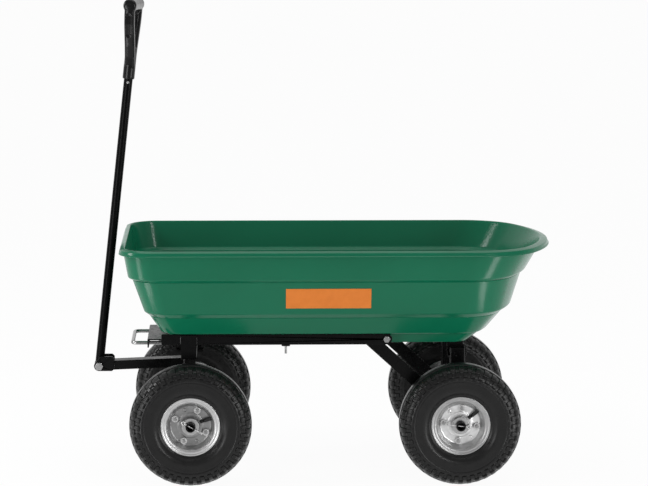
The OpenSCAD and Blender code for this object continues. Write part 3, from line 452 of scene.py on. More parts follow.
def tub_outline(level):
    """The closed outline at a level: (height, inset at the sides, at the front, at the nose)."""
    z, side, front, nose = level
    half_w, front_x, depth = HALF_W - side, FRONT_X + front, side / SIDE_SLOPE
    front_r = FRONT_CORNER_R * half_w / HALF_W
    rear_r = lerp(REAR_CORNER_R, FLOOR_CORNER_R, depth)
    nose_r = NOSE_R * (1 - NOSE_R_LOSS * depth)
    nose_cx = NOSE_X - nose - nose_r
    rear_cx = nose_cx + math.sqrt((nose_r - rear_r) ** 2 - (half_w - rear_r) ** 2)
    nose_turn = math.atan2(half_w - rear_r, rear_cx - nose_cx)
    front_cx, front_cy = front_x + front_r, -(half_w - front_r)
    half = [(front_x, front_cy * k / STRAIGHT_STEPS) for k in range(STRAIGHT_STEPS)]
    half += arc(front_cx, front_cy, front_r, math.pi, math.pi * 3 / 2, ARC_STEPS)
    half += [(lerp(front_cx, rear_cx, k / STRAIGHT_STEPS), -half_w) for k in range(1, STRAIGHT_STEPS)]
    half += arc(rear_cx, -(half_w - rear_r), rear_r, -math.pi / 2, -nose_turn, ARC_STEPS)
    half += arc(nose_cx, 0, nose_r, -nose_turn, 0, NOSE_STEPS)[1:]
    return [(x, y, z) for x, y in half] + [(x, -y, z) for x, y in reversed(half[1:-1])]


def even_level(z, inset):
    """A level that is inset alike on all sides."""
    return Vector((z, inset, inset, inset))


def outer_levels():
    heights, drop = [], 0.0
    for step in LEVEL_DROPS:
        heights.append(RIM_Z - drop - step)
        drop += step
    heights.append(FLOOR_Z)
    return [Vector((z, SIDE_SLOPE * side, FRONT_SLOPE * front, NOSE_SLOPE * nose))
            for z, side, front, nose in zip(heights, SIDE_SHARES, FRONT_SHARES, NOSE_SHARES)]


def tub_levels():
    """Levels of the whole section: floor edge, outer wall, lip, inner wall, floor edge."""
    outer = outer_levels()
    sideways = even_level(0, WALL)
    bead_z = RIM_Z - LIP_H + BEAD_H
    lip = [Vector((RIM_Z - WALL, *outer[0][1:])), even_level(RIM_Z - WALL, WALL),
           even_level(RIM_Z - LIP_H, WALL), even_level(RIM_Z - LIP_H, 0),
           even_level(bead_z, 0), even_level(bead_z + BEAD_OUT, BEAD_OUT),
           even_level(RIM_Z - LIP_FALL, BEAD_OUT + LIP_LEAN),
           Vector((RIM_Z, *(outer[0] + sideways)[1:]))]
    inner = [level + even_level(WALL, WALL) for level in outer[1:]]
    wall_path, wall_bends = [], []
    for i, bend in zip(range(len(outer) - 1, 0, -1), WALL_BENDS):
        if i in LEDGE_LEVELS:
            wall_path += [outer[i] - Vector((LEDGE, 0, 0, 0)), outer[i] + even_level(0, LEDGE)]
            wall_bends += [LEDGE_BEND, LEDGE_BEND]
        else:
            wall_path.append(outer[i])
            wall_bends.append(bend)
    path = [outer[-1] + sideways] + wall_path + lip + inner + [inner[-1] + sideways]
    bends = [0, *wall_bends, *LIP_BENDS, *WALL_BENDS[::-1], 0]
    return rounded_path(path, bends, BEND_STEPS)


def rounded_rect(length, width, radius, z, centre_x):
    out = []
    quarter = math.pi / 2
    for k, (side_x, side_y) in enumerate(((1, 1), (-1, 1), (-1, -1), (1, -1))):
        corner = arc(centre_x + side_x * (length / 2 - radius), side_y * (width / 2 - radius), radius,
                     quarter * k, quarter * (k + 1), PAD_STEPS)
        out += [(x, y, z) for x, y in corner]
    return out


def build_tub():
    shell = Solid()
    shell.loft([tub_outline(level) for level in tub_levels()])
    floor = FLOOR_Z + WALL
    pad_x = (FRONT_X + FRONT_SLOPE + NOSE_X - NOSE_SLOPE) / 2
    shoulder = PAD_EDGE * PAD_ROUND_SHARE
    pad_top = ((0, PAD_H - PAD_EDGE), (-shoulder, PAD_H - shoulder), (-PAD_EDGE, PAD_H),
               (-PAD_EDGE * 2, PAD_H))
    shell.loft([rounded_rect(PAD_LEN + 2 * out, PAD_W + 2 * out, PAD_CORNER + out, floor + up, pad_x)
                for out, up in PAD_FOOT + pad_top])
    tub = place("tub_shell", shell.mesh("tub_shell"), "tub", [TUB])
    add_modifier(tub, "WEIGHTED_NORMAL", keep_sharp=False, weight=60)
    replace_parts(tub, "tub")


build_tub()

# Wheels, in the wheel's own frame: Z along the axle, away from the cart

# Degrees that the rim of each wheel is turned at rest
WHEEL_TURNS = {"fl": 21, "fr": 150, "rl": 39, "rr": 250}
SHARP_ANGLE = math.radians(48)
FASTENER_STEPS = 20
tyre_low, tyre_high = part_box("tyre_fl")
TYRE_R = (tyre_high.z - tyre_low.z) / 2
TYRE_HALF_W = (tyre_high.y - tyre_low.y) / 2
RIM_R, SEAT_R, RIM_HALF_W, RIM_SHEET = 0.063, 0.051, 0.030, 0.0025
TYRE_WALL, TREAD_T = 0.006, 0.009
# The tyre's section is a superellipse around this radius; the step is in degrees, to find its normals
TYRE_MID_R = (RIM_R + TYRE_R) / 2 - TYRE_WALL / 2
CROWN_POWER, SIDE_POWER, NORMAL_STEP = 0.8, 0.7, 0.4
# The tyre's bead in the rim: its clearance, its place, its toe, and the lip that leaves the flange
BEAD_GAP = 0.0001
BEAD_Z = RIM_HALF_W - RIM_SHEET - BEAD_GAP
BEAD_TOE, BEAD_LIP_GAP, BEAD_LIP_H = 0.0072, 0.0006, 0.003
LINER_DEGREES = range(-30, 211, 20)
LUG_COUNT = 42
# Places in one lug pitch, with the stretches where the lugs of the two staggered rings stand
LUG_COLUMNS = (0.0, 0.07, 0.10, 0.17, 0.335, 0.5, 0.57, 0.60, 0.67, 0.835)
LUG_KINDS = {"a": lambda s: 0.07 <= s <= 0.60, "b": lambda s: s >= 0.57 or s <= 0.10, "": lambda s: False}
# Rows of the crown: degrees on the tyre's section (90 is the middle of the tread), lift in millimetres
CROWN_ROWS = ((90, -0.1), (85, -0.1), (81, -0.2), (80, -0.7))
GROOVE_START = 78.5
# Lug rings of one shoulder: start and end in degrees, height in millimetres, kind
LUG_RINGS = ((74, 40, 2.5, "a"), (35, 17, 2.0, "b"), (13.5, 6, 0.5, "a"))
# Rows along a lug as shares of it, its flanks in degrees, and millimetres that its top and rim lie low
LUG_SHARES = (0.0, 0.04, 0.25, 0.5, 0.75, 0.96, 1.0)
LUG_FLANK, LUG_TOP_LOW, LUG_RIM_LOW = 1.6, 0.1, 0.35
# Smooth side wall: degrees and height of its soft rings in millimetres, over a wall that lies low
SIDE_RINGS = ((4, 0), (2, 0.3), (0.5, 0.1), (-5, 0), (-10, 0.2), (-15, 0.6), (-20, 0.9), (-25, 0.9),
              (-30, 0.6), (-36, 0.2), (-41, 0), (-45, 0))
SIDE_LOW = 2.0


def wheel_matrix(wheel):
    left = wheel[1] == "l"
    return shift(*joints["wheel_%s_spin" % wheel]["pos_m"]) @ spin(90 if left else -90, "X")


def tyre_point(degrees, lift):
    """A point of the tyre's section as (radius, place along the axle), moved along its normal by lift."""
    def at(a):
        s, c = math.sin(a), math.cos(a)
        return Vector((TYRE_MID_R + (TYRE_R - TYRE_MID_R) * math.copysign(abs(s) ** CROWN_POWER, s),
                       TYRE_HALF_W * math.copysign(abs(c) ** SIDE_POWER, c)))
    a, step = math.radians(degrees), math.radians(NORMAL_STEP)
    run = at(a + step) - at(a - step)
    return at(a) + Vector((-run.y, run.x)).normalized() * lift


def tyre_rows():
    """Rows of half a section, from the crown out: (degrees, lift of the base, height of a lug, kind)."""
    rows = [(degrees, lift, 0, "") for degrees, lift in CROWN_ROWS]
    rows.append((GROOVE_START, -LUG_RINGS[0][2], 0, ""))
    for start, end, height, kind in LUG_RINGS:
        rows.append((start, -height, 0, ""))
        for share in LUG_SHARES:
            soft = LUG_RIM_LOW if share in (0.0, 1.0) else 0.0
            at = lerp(start - LUG_FLANK, end + LUG_FLANK, share)
            rows.append((at, -height, height - LUG_TOP_LOW - soft, kind))
        rows.append((end, -height, 0, ""))
    return rows + [(degrees, height - SIDE_LOW, 0, "") for degrees, height in SIDE_RINGS]


def build_tyre_mesh():
    half = tyre_rows()
    rings = []
    for degrees, base, height, kind in [(180 - row[0], *row[1:]) for row in reversed(half[1:])] + half:
        ring = []
        for k in range(LUG_COUNT):
            for share in LUG_COLUMNS:
                p = tyre_point(degrees, (base + height * LUG_KINDS[kind](share)) * MM)
                ring.append(on_circle(p.x, 2 * math.pi * (k + share - LUG_COLUMNS[-1]) / LUG_COUNT, p.y))
        rings.append(ring)
    bead = [(RIM_R + BEAD_LIP_GAP, BEAD_Z + BEAD_LIP_H), (RIM_R + BEAD_GAP, BEAD_Z),
            (SEAT_R + BEAD_GAP, BEAD_Z), (SEAT_R + BEAD_GAP, BEAD_Z - BEAD_TOE)]
    liner = [tuple(tyre_point(d, -(TYRE_WALL + TREAD_T) / 2)) for d in LINER_DEGREES]
    steps = LUG_COUNT * len(LUG_COLUMNS)
    for r, z in bead + liner + [(r, -z) for r, z in reversed(bead)]:
        rings.append([on_circle(r, 2 * math.pi * k / steps, z) for k in range(steps)])
    solid = Solid()
    solid.loft(rings, closed_path=True)
    return solid.mesh("tyre_treaded")


# Front face of a rim half, from the hub to the rolled edge, then its back: (radius, height) in millimetres
RIM_FACE = ((15.6, 9.6), (16.6, 10.5), (18.0, 10.8), (25.0, 10.8), (26.4, 10.3), (27.4, 9.45),
            (29.0, 9.25), (40.0, 9.25), (42.0, 9.6), (43.2, 10.4), (44.2, 12.4), (44.8, 14.2),
            (46.6, 18.6), (48.6, 23.0), (50.4, 26.2), (52.4, 28.4), (54.6, 29.5), (56.6, 29.75),
            (57.4, 29.45), (58.2, 29.75), (59.6, 30.7), (61.2, 31.2), (62.4, 30.9), (63.0, 29.9),
            (62.9, 28.8), (62.2, 28.0))
RIM_BACK = ((61.0, 27.6), (51.0, 27.5), (51.0, 0.05), (48.5, 0.05), (48.5, 6.8), (15.6, 6.8))
RIM_STEPS = 96
# The bolt circle, with two pressed dimples between bolts; turns in degrees, DIMPLE as (radius, height)
BOLT_R, BOLT_D, BOLT_FACE = 0.0355, 0.008, 0.00925
BOLT_TURNS, NUT_TWIST = (45, 135, 225, 315), 20
DIMPLE_TURNS, DIMPLE_SINK = (90, 270), 0.0003
DIMPLE = ((0.0042, 0), (0.0038, 0.0009), (0.0026, 0.0016), (0.001, 0.0019))
# Nuts: width as a share of the bolt, height, and how far a stud stands out
NUT_SHARE, NUT_H, STUD_OUT = 1.72, 0.0055, 0.0028
# A nut from its foot up: (share of its height, share of the corners' reach)
NUT_RINGS = ((0, 0.94), (0.1, 1.0), (0.82, 1.0), (0.94, 0.93), (1, 0.86), (1, 0.8))
NUT_STEPS = 24
# A thread end: its root inside the nut, then rings of (share of its radius, share of its reach outside)
STUD_ROOT_SHARE, STUD_DEPTH_SHARE = 1.1, 0.5
STUD_RINGS = ((1.1, 0.1), (1, 0.2), (1, 0.42), (0.9, 0.5), (1, 0.58), (1, 0.85), (0.8, 1), (0.4, 1))


def hex_nut(solid, across, height, matrix, stud=0.0, bore=0.0):
    """A chamfered hexagon from z 0 up, with a domed thread end of radius bore standing out by stud."""
    sixth = math.pi / 3
    rings = []
    for up, reach in NUT_RINGS:
        ring = []
        for k in range(NUT_STEPS):
            a = 2 * math.pi * k / NUT_STEPS
            flat = across / 2 / math.cos((a + sixth / 2) % sixth - sixth / 2)
            ring.append(on_circle(min(flat, across / math.sqrt(3) * reach), a, height * up))
        rings.append(ring)
    solid.loft(rings, 0, matrix)
    if bore:
        root = (bore * STUD_ROOT_SHARE, height * STUD_DEPTH_SHARE)
        thread = [(bore * wide, height + stud * out) for wide, out in STUD_RINGS]
        solid.turned([root, *thread], FASTENER_STEPS, 1, matrix)


def on_bolt_circle(turn, z):
    return spin(turn, "Z") @ shift(BOLT_R, 0, z)


def build_rim_mesh():
    rim = Solid()
    rim.turned([(r * MM, z * MM) for r, z in RIM_FACE + RIM_BACK], RIM_STEPS, closed=True)
    for turn in DIMPLE_TURNS:
        rim.turned(DIMPLE, FASTENER_STEPS, 0, on_bolt_circle(turn, BOLT_FACE - DIMPLE_SINK))
    return rim.mesh("rim_half")


def build_rim_bolts_mesh():
    bolts = Solid()
    for k, turn in enumerate(BOLT_TURNS):
        front = on_bolt_circle(turn, BOLT_FACE) @ spin(NUT_TWIST * k, "Z")
        hex_nut(bolts, BOLT_D * NUT_SHARE, NUT_H, front, STUD_OUT, BOLT_D / 2)
        hex_nut(bolts, BOLT_D * NUT_SHARE, NUT_H, on_bolt_circle(turn, -BOLT_FACE) @ spin(180, "X"))
        shank = [(BOLT_D / 2, -BOLT_FACE), (BOLT_D / 2, BOLT_FACE)]
        bolts.turned(shank, FASTENER_STEPS, 0, on_bolt_circle(turn, 0))
    return bolts.mesh("rim_bolts")


# Valve, turned about its own axis: (radius, distance from its root towards the axle) in millimetres
VALVE_Z, VALVE_ROOT_R, VALVE_STEPS = 0.0155, 0.0465, 24
VALVE_RUBBER = ((4.6, -3.5), (4.6, 0), (4.9, 0.4), (4.9, 1.6), (4.4, 2.2), (4.3, 9.0), (4.0, 10.0),
                (4.0, 12.5), (4.4, 13.0), (4.4, 14.4), (3.9, 15.0), (3.2, 15.2))
# The cap's foot has ridges and grooves by turns
RIDGE_R, GROOVE_R, RIDGES_AT, RIDGE_STEP, RIDGE_ROWS = 3.6, 3.1, 15.4, 0.6, 7
CAP_RIDGES = [(GROOVE_R if k % 2 else RIDGE_R, RIDGES_AT + RIDGE_STEP * k) for k in range(RIDGE_ROWS)]
VALVE_CAP = ((3.2, 15.0), *CAP_RIDGES, (3.6, 23.2), (3.2, 24.4), (2.2, 25.0), (0.6, 25.0))
# Inner tube: how far it lies under the tyre's skin, its section in degrees, and its seat on the rim
TUBE_UNDER, TUBE_DEGREES, TUBE_STEPS = 0.0105, range(-35, 216, 25), 48
TUBE_SEAT_R, TUBE_SEAT_HALF_W = SEAT_R + 0.001, 0.018


def build_valve_mesh(turn):
    solid = Solid()
    inward = spin(turn, "Z") @ shift(VALVE_ROOT_R, 0, VALVE_Z) @ spin(-90, "Y")
    for index, profile in enumerate((VALVE_RUBBER, VALVE_CAP)):
        solid.turned([(r * MM, z * MM) for r, z in profile], VALVE_STEPS, index, inward)
    tube = [tuple(tyre_point(d, -TUBE_UNDER)) for d in TUBE_DEGREES]
    seat = [(TUBE_SEAT_R, -TUBE_SEAT_HALF_W), (TUBE_SEAT_R, TUBE_SEAT_HALF_W)]
    solid.turned(tube + seat, TUBE_STEPS, 0, closed=True)
    return solid.mesh("valve_and_tube")


def build_wheels():
    tyre, rim, bolts = build_tyre_mesh(), build_rim_mesh(), build_rim_bolts_mesh()
    # Each axle's rims take the zinc with that axle's painted light and shade
    rims = {"f": (rim, RIM_FRONT_PAINTED_SHADE), "r": (rim.copy(), RIM_REAR_PAINTED_LIGHT_AND_SHADE)}
    for wheel, turn in WHEEL_TURNS.items():
        rim, rim_zinc_painted_shade = rims[wheel[0]]
        body, level = "wheel_" + wheel, wheel_matrix(wheel)
        at = level @ spin(turn, "Z")
        flip = at @ spin(180, "X")
        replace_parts(place("tyre_treaded_" + wheel, tyre, body, [TYRE], level), "tyre_" + wheel)
        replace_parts(place("rim_face_" + wheel, rim, body, [rim_zinc_painted_shade], at), "rim_outer_" + wheel)
        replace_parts(place("rim_back_" + wheel, rim, body, [rim_zinc_painted_shade], flip), "rim_inner_" + wheel)
        nuts = place("rim_nuts_" + wheel, bolts, body, [RIM_NUT, STUD_END], at)
        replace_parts(nuts, "rim_bolts_" + wheel)
        stem = place("valve_" + wheel, build_valve_mesh(turn), body, [VALVE, CAP], level)
        stem.data.set_sharp_from_angle(angle=SHARP_ANGLE)
        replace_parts(stem, "inner_tube_" + wheel)
    for mesh in (tyre, bolts, *(rim for rim, _ in rims.values())):
        mesh.set_sharp_from_angle(angle=SHARP_ANGLE)


build_wheels()

# Bolts through the tub floor: domed heads inside, chamfered nuts under the brackets

TUB_BOLT_D, BRACKET_T = 0.007, 0.003
# Profile of a head: (radius, height)
DOME = ((0.007, 0), (0.0069, 0.0008), (0.0061, 0.002), (0.0045, 0.003), (0.0022, 0.0034), (0.0006, 0.0035))
DOME_STEPS = 28
DOME_SHARP_ANGLE = math.radians(40)


def node_islands(name, reach):
    """Centres of a CAD node's solids, seen from above; points within reach belong to one solid."""
    groups = []
    for p in sorted((v.co.x, v.co.y) for v in nodes[name].data.vertices):
        near = [g for g in groups if math.dist(p, g[0]) < reach]
        if near:
            near[0].append(p)
        else:
            groups.append([p])
    return [(middle([x for x, _ in g]), middle([y for _, y in g])) for g in groups]


def build_tub_bolts():
    solid = Solid()
    floor, foot = FLOOR_Z + WALL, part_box("tub_bolts")[0].z
    nut_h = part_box("latch_bracket")[1].z - BRACKET_T - foot
    for x, y in node_islands("tub_bolts", 3 * TUB_BOLT_D):
        solid.turned(DOME, DOME_STEPS, 0, shift(x, y, floor))
        solid.turned([(TUB_BOLT_D / 2, foot), (TUB_BOLT_D / 2, floor)], FASTENER_STEPS, 0, shift(x, y, 0))
        hex_nut(solid, TUB_BOLT_D * NUT_SHARE, nut_h, shift(x, y, foot + nut_h) @ spin(180, "X"))
    bolts = place("tub_bolt_set", solid.mesh("tub_bolt_set"), "tub", [STEEL])
    bolts.data.set_sharp_from_angle(angle=DOME_SHARP_ANGLE)
    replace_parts(bolts, "tub_bolts")


build_tub_bolts()

# Weld beads

WELD_R, WELD_PITCH, WELD_STEP, WELD_MIN_STEPS, WELD_SIDES = 0.0021, 0.0034, 0.0006, 4, 10
# Ripples as shares of the radius, the rate of the finer ones, their push along the bead, and the thin ends
RIPPLE_SHARE, FINE_SHARE, FINE_RATE, RIPPLE_PUSH, END_SHARE = 0.2, 0.08, 37.0, 0.0006, 0.35
# How far the beads stop short of an edge
LEG_FOOT_GAP, LEG_TOP_GAP, CATCH_GAP, POST_GAP = 0.002, 0.003, 0.01, 0.003
CHEEK_FOOT_GAP, CHEEK_TOP_GAP = 0.005, 0.014
# Half the width of the column, and the height of the beads up the drawbar's end
COLUMN_HALF_W, DRAWBAR_WELD_H = 0.0125, 0.020


def weld(name, body, lines):
    """Rippled beads along straight lines between pairs of points."""
    solid = Solid()
    for start, end in lines:
        a, b = Vector(start), Vector(end)
        run = (b - a).length
        along = (b - a).normalized()
        side = along.orthogonal().normalized()
        up = along.cross(side)
        count = max(int(run / WELD_STEP), WELD_MIN_STEPS)
        rings = []
        for i in range(count + 1):
            s = run * i / count
            wave = math.sin(2 * math.pi * s / WELD_PITCH)
            ripple = 1 + RIPPLE_SHARE * wave + FINE_SHARE * math.sin(FINE_RATE * s / WELD_PITCH)
            end_fade = min(1.0, END_SHARE + min(s, run - s) / (2 * WELD_R))
            r = WELD_R * ripple * end_fade
            centre = a + along * s + along * (RIPPLE_PUSH * wave)
            rings.append([tuple(centre + (side * math.cos(t) + up * math.sin(t)) * r)
                          for t in (2 * math.pi * k / WELD_SIDES for k in range(WELD_SIDES))])
        solid.loft(rings)
    place(name, solid.mesh(name), body, [WELD])


def rectangle(x0, x1, y0, y1, z, gap):
    """The edges of a level rectangle, each short of the corners by gap."""
    return [((x0, y0 + gap, z), (x0, y1 - gap, z)), ((x1, y0 + gap, z), (x1, y1 - gap, z)),
            ((x0 + gap, y0, z), (x1 - gap, y0, z)), ((x0 + gap, y1, z), (x1 - gap, y1, z))]


def build_chassis_welds():
    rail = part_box("rail_left")[0]
    leg_low, leg_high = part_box("front_bolster")
    lines = [((x, y, rail.z + LEG_FOOT_GAP), (x, y, leg_high.z - LEG_TOP_GAP))
             for y in (rail.y, -rail.y) for x in (leg_low.x, leg_high.x)]
    catch_low, catch_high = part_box("catch_plate")
    x, z = catch_high.x, catch_low.z
    pin_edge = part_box("king_pin")[1].y + 2 * WELD_R
    lines += [((x, side * pin_edge, z), (x, side * (catch_high.y - CATCH_GAP), z)) for side in (-1, 1)]
    weld("weld_bolster", "chassis", lines)
    lines = []
    for name in ("post_left", "post_right"):
        low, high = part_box(name)
        lines += rectangle(low.x, high.x, low.y, high.y, low.z, POST_GAP)
    weld("weld_posts", "chassis", lines)


def build_steering_welds():
    king = Vector(joints["steer"]["pos_m"])
    half = COLUMN_HALF_W
    lines = rectangle(king.x - half, king.x + half, -half, half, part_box("front_column")[0].z, 0)
    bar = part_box("drawbar")[1]
    foot = bar.z - DRAWBAR_WELD_H
    lines += [((bar.x, y, foot), (bar.x, y, bar.z)) for y in (-bar.y, bar.y)]
    lines += [((bar.x, -half, z), (bar.x, half, z)) for z in (bar.z, foot)]
    low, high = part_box("clevis_cheeks")
    lines += [((high.x, y, low.z + CHEEK_FOOT_GAP), (high.x, y, high.z - CHEEK_TOP_GAP))
              for y in (-bar.y, bar.y)]
    weld("weld_steering", "steering", lines)


build_chassis_welds()
build_steering_welds()

# Grip, in the handle's own frame: Z up the tube, Y across the cart

# Degrees: the handle leans, the grip is turned about the tube and bends back from its neck
HANDLE_LEAN, GRIP_TURN, GRIP_BEND = 6.2, -8.0, 2.2
GRIP_AT, GRIP_LEN, GRIP_NECK = 0.630, 0.160, 0.048
BAR_R, ARM_HALF_T, ARM_HALF_W, SOCKET_R, TUBE_R = 0.0145, 0.0112, 0.0088, 0.0130, 0.0095
# Powers of the superellipses: 2 is round, more is squarer
SOCKET_POWER, ARM_POWER, BAR_POWER, SECTION_STEPS = 2.0, 3.0, 2.1, 28
# Socket: (height, share of its radius); arm: (distance from the middle, height); bar: (distance, share)
SOCKET_RINGS = ((0, 0.93), (0.0008, 0.985), (0.0018, 1), (0.02, 1), (0.068, 0.98))
ARM_PATH = ((0.003, 0.028), (0.009, 0.05), (0.019, 0.075), (0.031, 0.1), (0.041, 0.122), (0.046, 0.142),
            (0.0475, GRIP_LEN))
BAR_HALF = ((0, 0.95), (0.03, 0.97), (0.049, 1.0), (0.053, 0.93), (0.0553, 0.75), (0.056, 0.45))
GRIP_VOXEL = 0.0011
# Pockets in the arms: their stretch, half width, rounded edge, depth, and how squarely the skin must face
POCKET_LOW, POCKET_HIGH, POCKET_HALF_W, POCKET_EDGE = 0.090, 0.1445, 0.0086, 0.0056
POCKET_DEPTH, POCKET_FACING = 0.0026, 0.6
# The rivet under the grip: its place below it, and its profile as (radius, height)
RIVET_DROP = 0.007
RIVET = ((0.0034, -0.001), (0.0034, 0.0004), (0.0029, 0.0013), (0.0018, 0.0019), (0.0005, 0.0021))
handle_matrix = shift(*joints["handle_fold"]["pos_m"]) @ spin(HANDLE_LEAN, "Y")


def superellipse(centre, u, v, half_u, half_v, power):
    out = []
    for k in range(SECTION_STEPS):
        c, s, _ = on_circle(1, 2 * math.pi * k / SECTION_STEPS, 0)
        out.append(tuple(centre + u * half_u * math.copysign(abs(c) ** (2 / power), c)
                         + v * half_v * math.copysign(abs(s) ** (2 / power), s)))
    return out


def sink_pockets(mesh, straighten):
    """A long pocket in both faces of each arm of the grip, pressed into the finished skin."""
    moves = []
    for v in mesh.vertices:
        at = straighten @ v.co
        past_end = max(POCKET_LOW + POCKET_HALF_W - at.z, at.z - POCKET_HIGH + POCKET_HALF_W, 0)
        inside = (POCKET_HALF_W - math.hypot(at.x, past_end)) / POCKET_EDGE
        if inside > 0 and abs(v.normal.y) > POCKET_FACING:
            share = min(inside, 1.0)
            moves.append((v, v.normal * (POCKET_DEPTH * share * share * (3 - 2 * share))))
    for v, move in moves:
        v.co -= move
    mesh.update()


def grip_form(bend):
    """Socket, arms and bar as overlapping lofts; arms and bar follow the bend."""
    solid = Solid()
    solid.loft([superellipse(Z_AXIS * z, X_AXIS, Y_AXIS, SOCKET_R * s, SOCKET_R * s, SOCKET_POWER)
                for z, s in SOCKET_RINGS])
    for side in (-1, 1):
        centres = [Vector((0, side * y, z)) for y, z in ARM_PATH]
        rings = []
        for i, c in enumerate(centres):
            along = (centres[min(i + 1, len(centres) - 1)] - centres[max(i - 1, 0)]).normalized()
            across = along.cross(X_AXIS).normalized()
            rings.append(superellipse(c, X_AXIS, across, ARM_HALF_T, ARM_HALF_W, ARM_POWER))
        solid.loft(rings, matrix=bend)
    bar = [(-y, s) for y, s in reversed(BAR_HALF[1:])] + list(BAR_HALF)
    solid.loft([superellipse(Vector((0, y, GRIP_LEN)), X_AXIS, Z_AXIS, BAR_R * s, BAR_R * s, BAR_POWER)
                for y, s in bar], matrix=bend)
    return solid.mesh("grip_form")


def build_grip():
    """The lofts are melted into one moulded skin."""
    bend = shift(0, 0, GRIP_NECK) @ spin(-GRIP_BEND, "Y") @ shift(0, 0, -GRIP_NECK)
    obj = bpy.data.objects.new("grip_moulded", grip_form(bend))
    bpy.context.scene.collection.objects.link(obj)
    add_modifier(obj, "REMESH", mode="VOXEL", voxel_size=GRIP_VOXEL)
    add_modifier(obj, "SMOOTH", factor=0.5, iterations=9)
    bpy.context.view_layer.update()
    skin = bpy.data.meshes.new_from_object(obj.evaluated_get(bpy.context.evaluated_depsgraph_get()))
    obj.modifiers.clear()
    sink_pockets(skin, bend.inverted())
    obj.data = skin
    skin.polygons.foreach_set("use_smooth", [True] * len(skin.polygons))
    skin.materials.clear()
    skin.materials.append(GRIP)
    obj.matrix_world = handle_matrix @ shift(0, 0, GRIP_AT) @ spin(GRIP_TURN, "Z")
    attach(obj, "handle")
    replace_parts(obj, "grip")


def build_rivet():
    rivet = Solid()
    at = handle_matrix @ shift(0, -TUBE_R, GRIP_AT - RIVET_DROP) @ spin(90, "X")
    rivet.turned(RIVET, FASTENER_STEPS, 0, at)
    place("handle_rivet", rivet.mesh("handle_rivet"), "handle", [STUD_END])


build_grip()
build_rivet()

# Studio: pale floor, soft light, the photo's camera

FLOOR_FRONT, FLOOR_BACK, FLOOR_SIDE = -1.3, 70.0, 30.0
# Share of plain white in the floor where it is the background; the rest keeps a faint shadow
GLOW_SHARE = 0.95
WHITE = (1, 1, 1, 1)
# The room's light towards the camera and behind the cart, and the stretch of directions where it changes
WORLD_FRONT, WORLD_BACK, WORLD_FADE_START, WORLD_FADE_END = 0.4, 0.8, -0.15, 0.6
# Lamps: name, place, the point that it faces, power in watts, width, height
LAMPS = (("top_softbox", (0.1, 0.5, 2.6), (0.1, 0.45, 0.35), 12, 2.4, 0.9),
         ("front_top_strip", (0.1, -0.6, 2.6), (0.1, -0.5, 0.35), 7, 2.4, 0.35),
         ("left_fill", (-2.3, -2.4, 0.5), (0.1, 0, 0.38), 22, 1.4, 0.9),
         ("right_fill", (2.4, -2.3, 0.5), (0.1, 0, 0.38), 22, 1.4, 0.9),
         ("right_key", (1.64, -3.27, 1.17), (-0.36, 0.19, 0.47), 18, 0.2, 1.0),
         ("left_key", (-2.17, -0.34, 1.56), (0.35, 0.2, 0.47), 20, 0.45, 0.8))
# Strips on the floor beside the cart: name, near end, far end, power in watts, width
FLOOR_LAMPS = (("left_floor_strip", (-0.7, -0.34), (-1.3, -0.62), 3.2, 0.26),
               ("right_floor_strip", (0.68, -0.45), (1.16, -0.79), 2.0, 0.16))
FLOOR_LAMP_Z = 0.02
# The photo's camera, found from the wheels and the tub rim; angles in radians, lens in millimetres
CAMERA_AT = (-0.1897, -6.1293, 1.3654)
CAMERA_YAW, CAMERA_PITCH, CAMERA_ROLL = 0.0320, 0.1422, 0.0020
CAMERA_LENS, CAMERA_SENSOR = 157.87, 36


def floor_finish():
    """Pale and matt, and nearly white where the camera or a reflection sees it."""
    f = Finish("floor_pale", Roughness=0.9)
    f.set("Base Color", f.two_tone(f.noise(2.0), grey(0.86), grey(0.88)))
    glow = f.node("ShaderNodeEmission")
    glow.inputs["Strength"].default_value = 1.0
    glow.inputs["Color"].default_value = WHITE
    path = f.node("ShaderNodeLightPath")
    seen = path.outputs["Is Camera Ray"]
    for kind in ("Is Glossy Ray", "Is Transmission Ray"):
        total = f.node("ShaderNodeMath", operation="MAXIMUM")
        f.link(seen, total.inputs[0])
        f.link(path.outputs[kind], total.inputs[1])
        seen = total.outputs[0]
    share = f.node("ShaderNodeMath", operation="MULTIPLY")
    share.inputs[1].default_value = GLOW_SHARE
    f.link(seen, share.inputs[0])
    mix = f.node("ShaderNodeMixShader")
    f.link(share.outputs[0], mix.inputs["Fac"])
    f.link(f.shader.outputs[0], mix.inputs[1])
    f.link(glow.outputs[0], mix.inputs[2])
    f.link(mix.outputs[0], f.tree.nodes["Material Output"].inputs["Surface"])
    return f.material


def add_floor():
    """A pale sweep that runs far back, so that it is the whole background."""
    corners = [(-FLOOR_SIDE, FLOOR_FRONT, 0), (FLOOR_SIDE, FLOOR_FRONT, 0), (FLOOR_SIDE, FLOOR_BACK, 0),
               (-FLOOR_SIDE, FLOOR_BACK, 0)]
    mesh = build_mesh("floor", corners, [(0, 1, 2, 3)])
    mesh.materials.append(floor_finish())
    floor = bpy.data.objects.new("floor", mesh)
    floor.location.z = cad_bounds[0].z
    bpy.context.scene.collection.objects.link(floor)


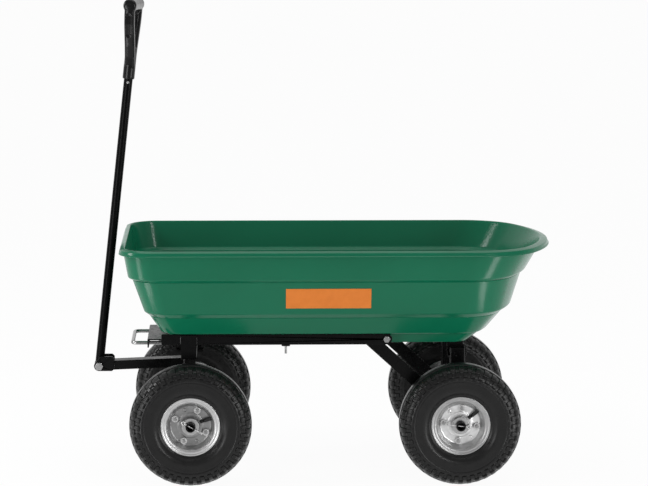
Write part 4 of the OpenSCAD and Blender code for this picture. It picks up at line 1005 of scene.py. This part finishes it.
def add_world():
    """A white room behind the cart that grows dim towards the camera."""
    world = bpy.data.worlds.new("studio")
    bpy.context.scene.world = world
    world.use_nodes = True
    tree = world.node_tree
    room = tree.nodes["Background"]
    room.inputs["Color"].default_value = WHITE
    coords = tree.nodes.new("ShaderNodeTexCoord")
    split = tree.nodes.new("ShaderNodeSeparateXYZ")
    tree.links.new(coords.outputs["Generated"], split.inputs[0])
    depth = tree.nodes.new("ShaderNodeMapRange")
    depth.interpolation_type = "SMOOTHSTEP"
    for socket, value in (("From Min", WORLD_FADE_START), ("From Max", WORLD_FADE_END),
                          ("To Min", WORLD_FRONT), ("To Max", WORLD_BACK)):
        depth.inputs[socket].default_value = value
    tree.links.new(split.outputs["Y"], depth.inputs["Value"])
    tree.links.new(depth.outputs["Result"], room.inputs["Strength"])


def area_lamp(name, power, width, height):
    data = bpy.data.lights.new(name, "AREA")
    data.shape = "RECTANGLE"
    data.size, data.size_y, data.energy = width, height, power
    lamp = bpy.data.objects.new(name, data)
    bpy.context.scene.collection.objects.link(lamp)
    return lamp


def add_lamp(name, at, target, power, width, height):
    lamp = area_lamp(name, power, width, height)
    lamp.location = at
    lamp.rotation_euler = (Vector(target) - Vector(at)).to_track_quat("-Z", "Y").to_euler()


def add_floor_lamp(name, near, far, power, width):
    """A strip light that lies on the floor beside the cart, outside the picture, and shines up."""
    a, b = Vector((*near, FLOOR_LAMP_Z)), Vector((*far, FLOOR_LAMP_Z))
    along = (b - a).normalized()
    across = along.cross(-Z_AXIS)
    lamp = area_lamp(name, power, width, (b - a).length)
    lamp.matrix_world = shift(*(a + b) / 2) @ Matrix((across, along, -Z_AXIS)).transposed().to_4x4()


def add_camera():
    level = math.cos(CAMERA_PITCH)
    ahead = Vector((math.sin(CAMERA_YAW) * level, math.cos(CAMERA_YAW) * level, -math.sin(CAMERA_PITCH)))
    right = Vector((math.cos(CAMERA_YAW), -math.sin(CAMERA_YAW), 0))
    up = right.cross(ahead)
    rolled_right = right * math.cos(CAMERA_ROLL) + up * math.sin(CAMERA_ROLL)
    rolled_up = up * math.cos(CAMERA_ROLL) - right * math.sin(CAMERA_ROLL)
    data = bpy.data.cameras.new("photo_camera")
    data.lens, data.sensor_width = CAMERA_LENS, CAMERA_SENSOR
    camera = bpy.data.objects.new("photo_camera", data)
    facing = Matrix((rolled_right, rolled_up, -ahead)).transposed().to_4x4()
    camera.matrix_world = shift(*CAMERA_AT) @ facing
    bpy.context.scene.collection.objects.link(camera)
    bpy.context.scene.camera = camera


add_floor()
add_world()
for lamp in LAMPS:
    add_lamp(*lamp)
for lamp in FLOOR_LAMPS:
    add_floor_lamp(*lamp)
add_camera()
bpy.context.scene.view_settings.view_transform = "Standard"

bpy.context.view_layer.update()
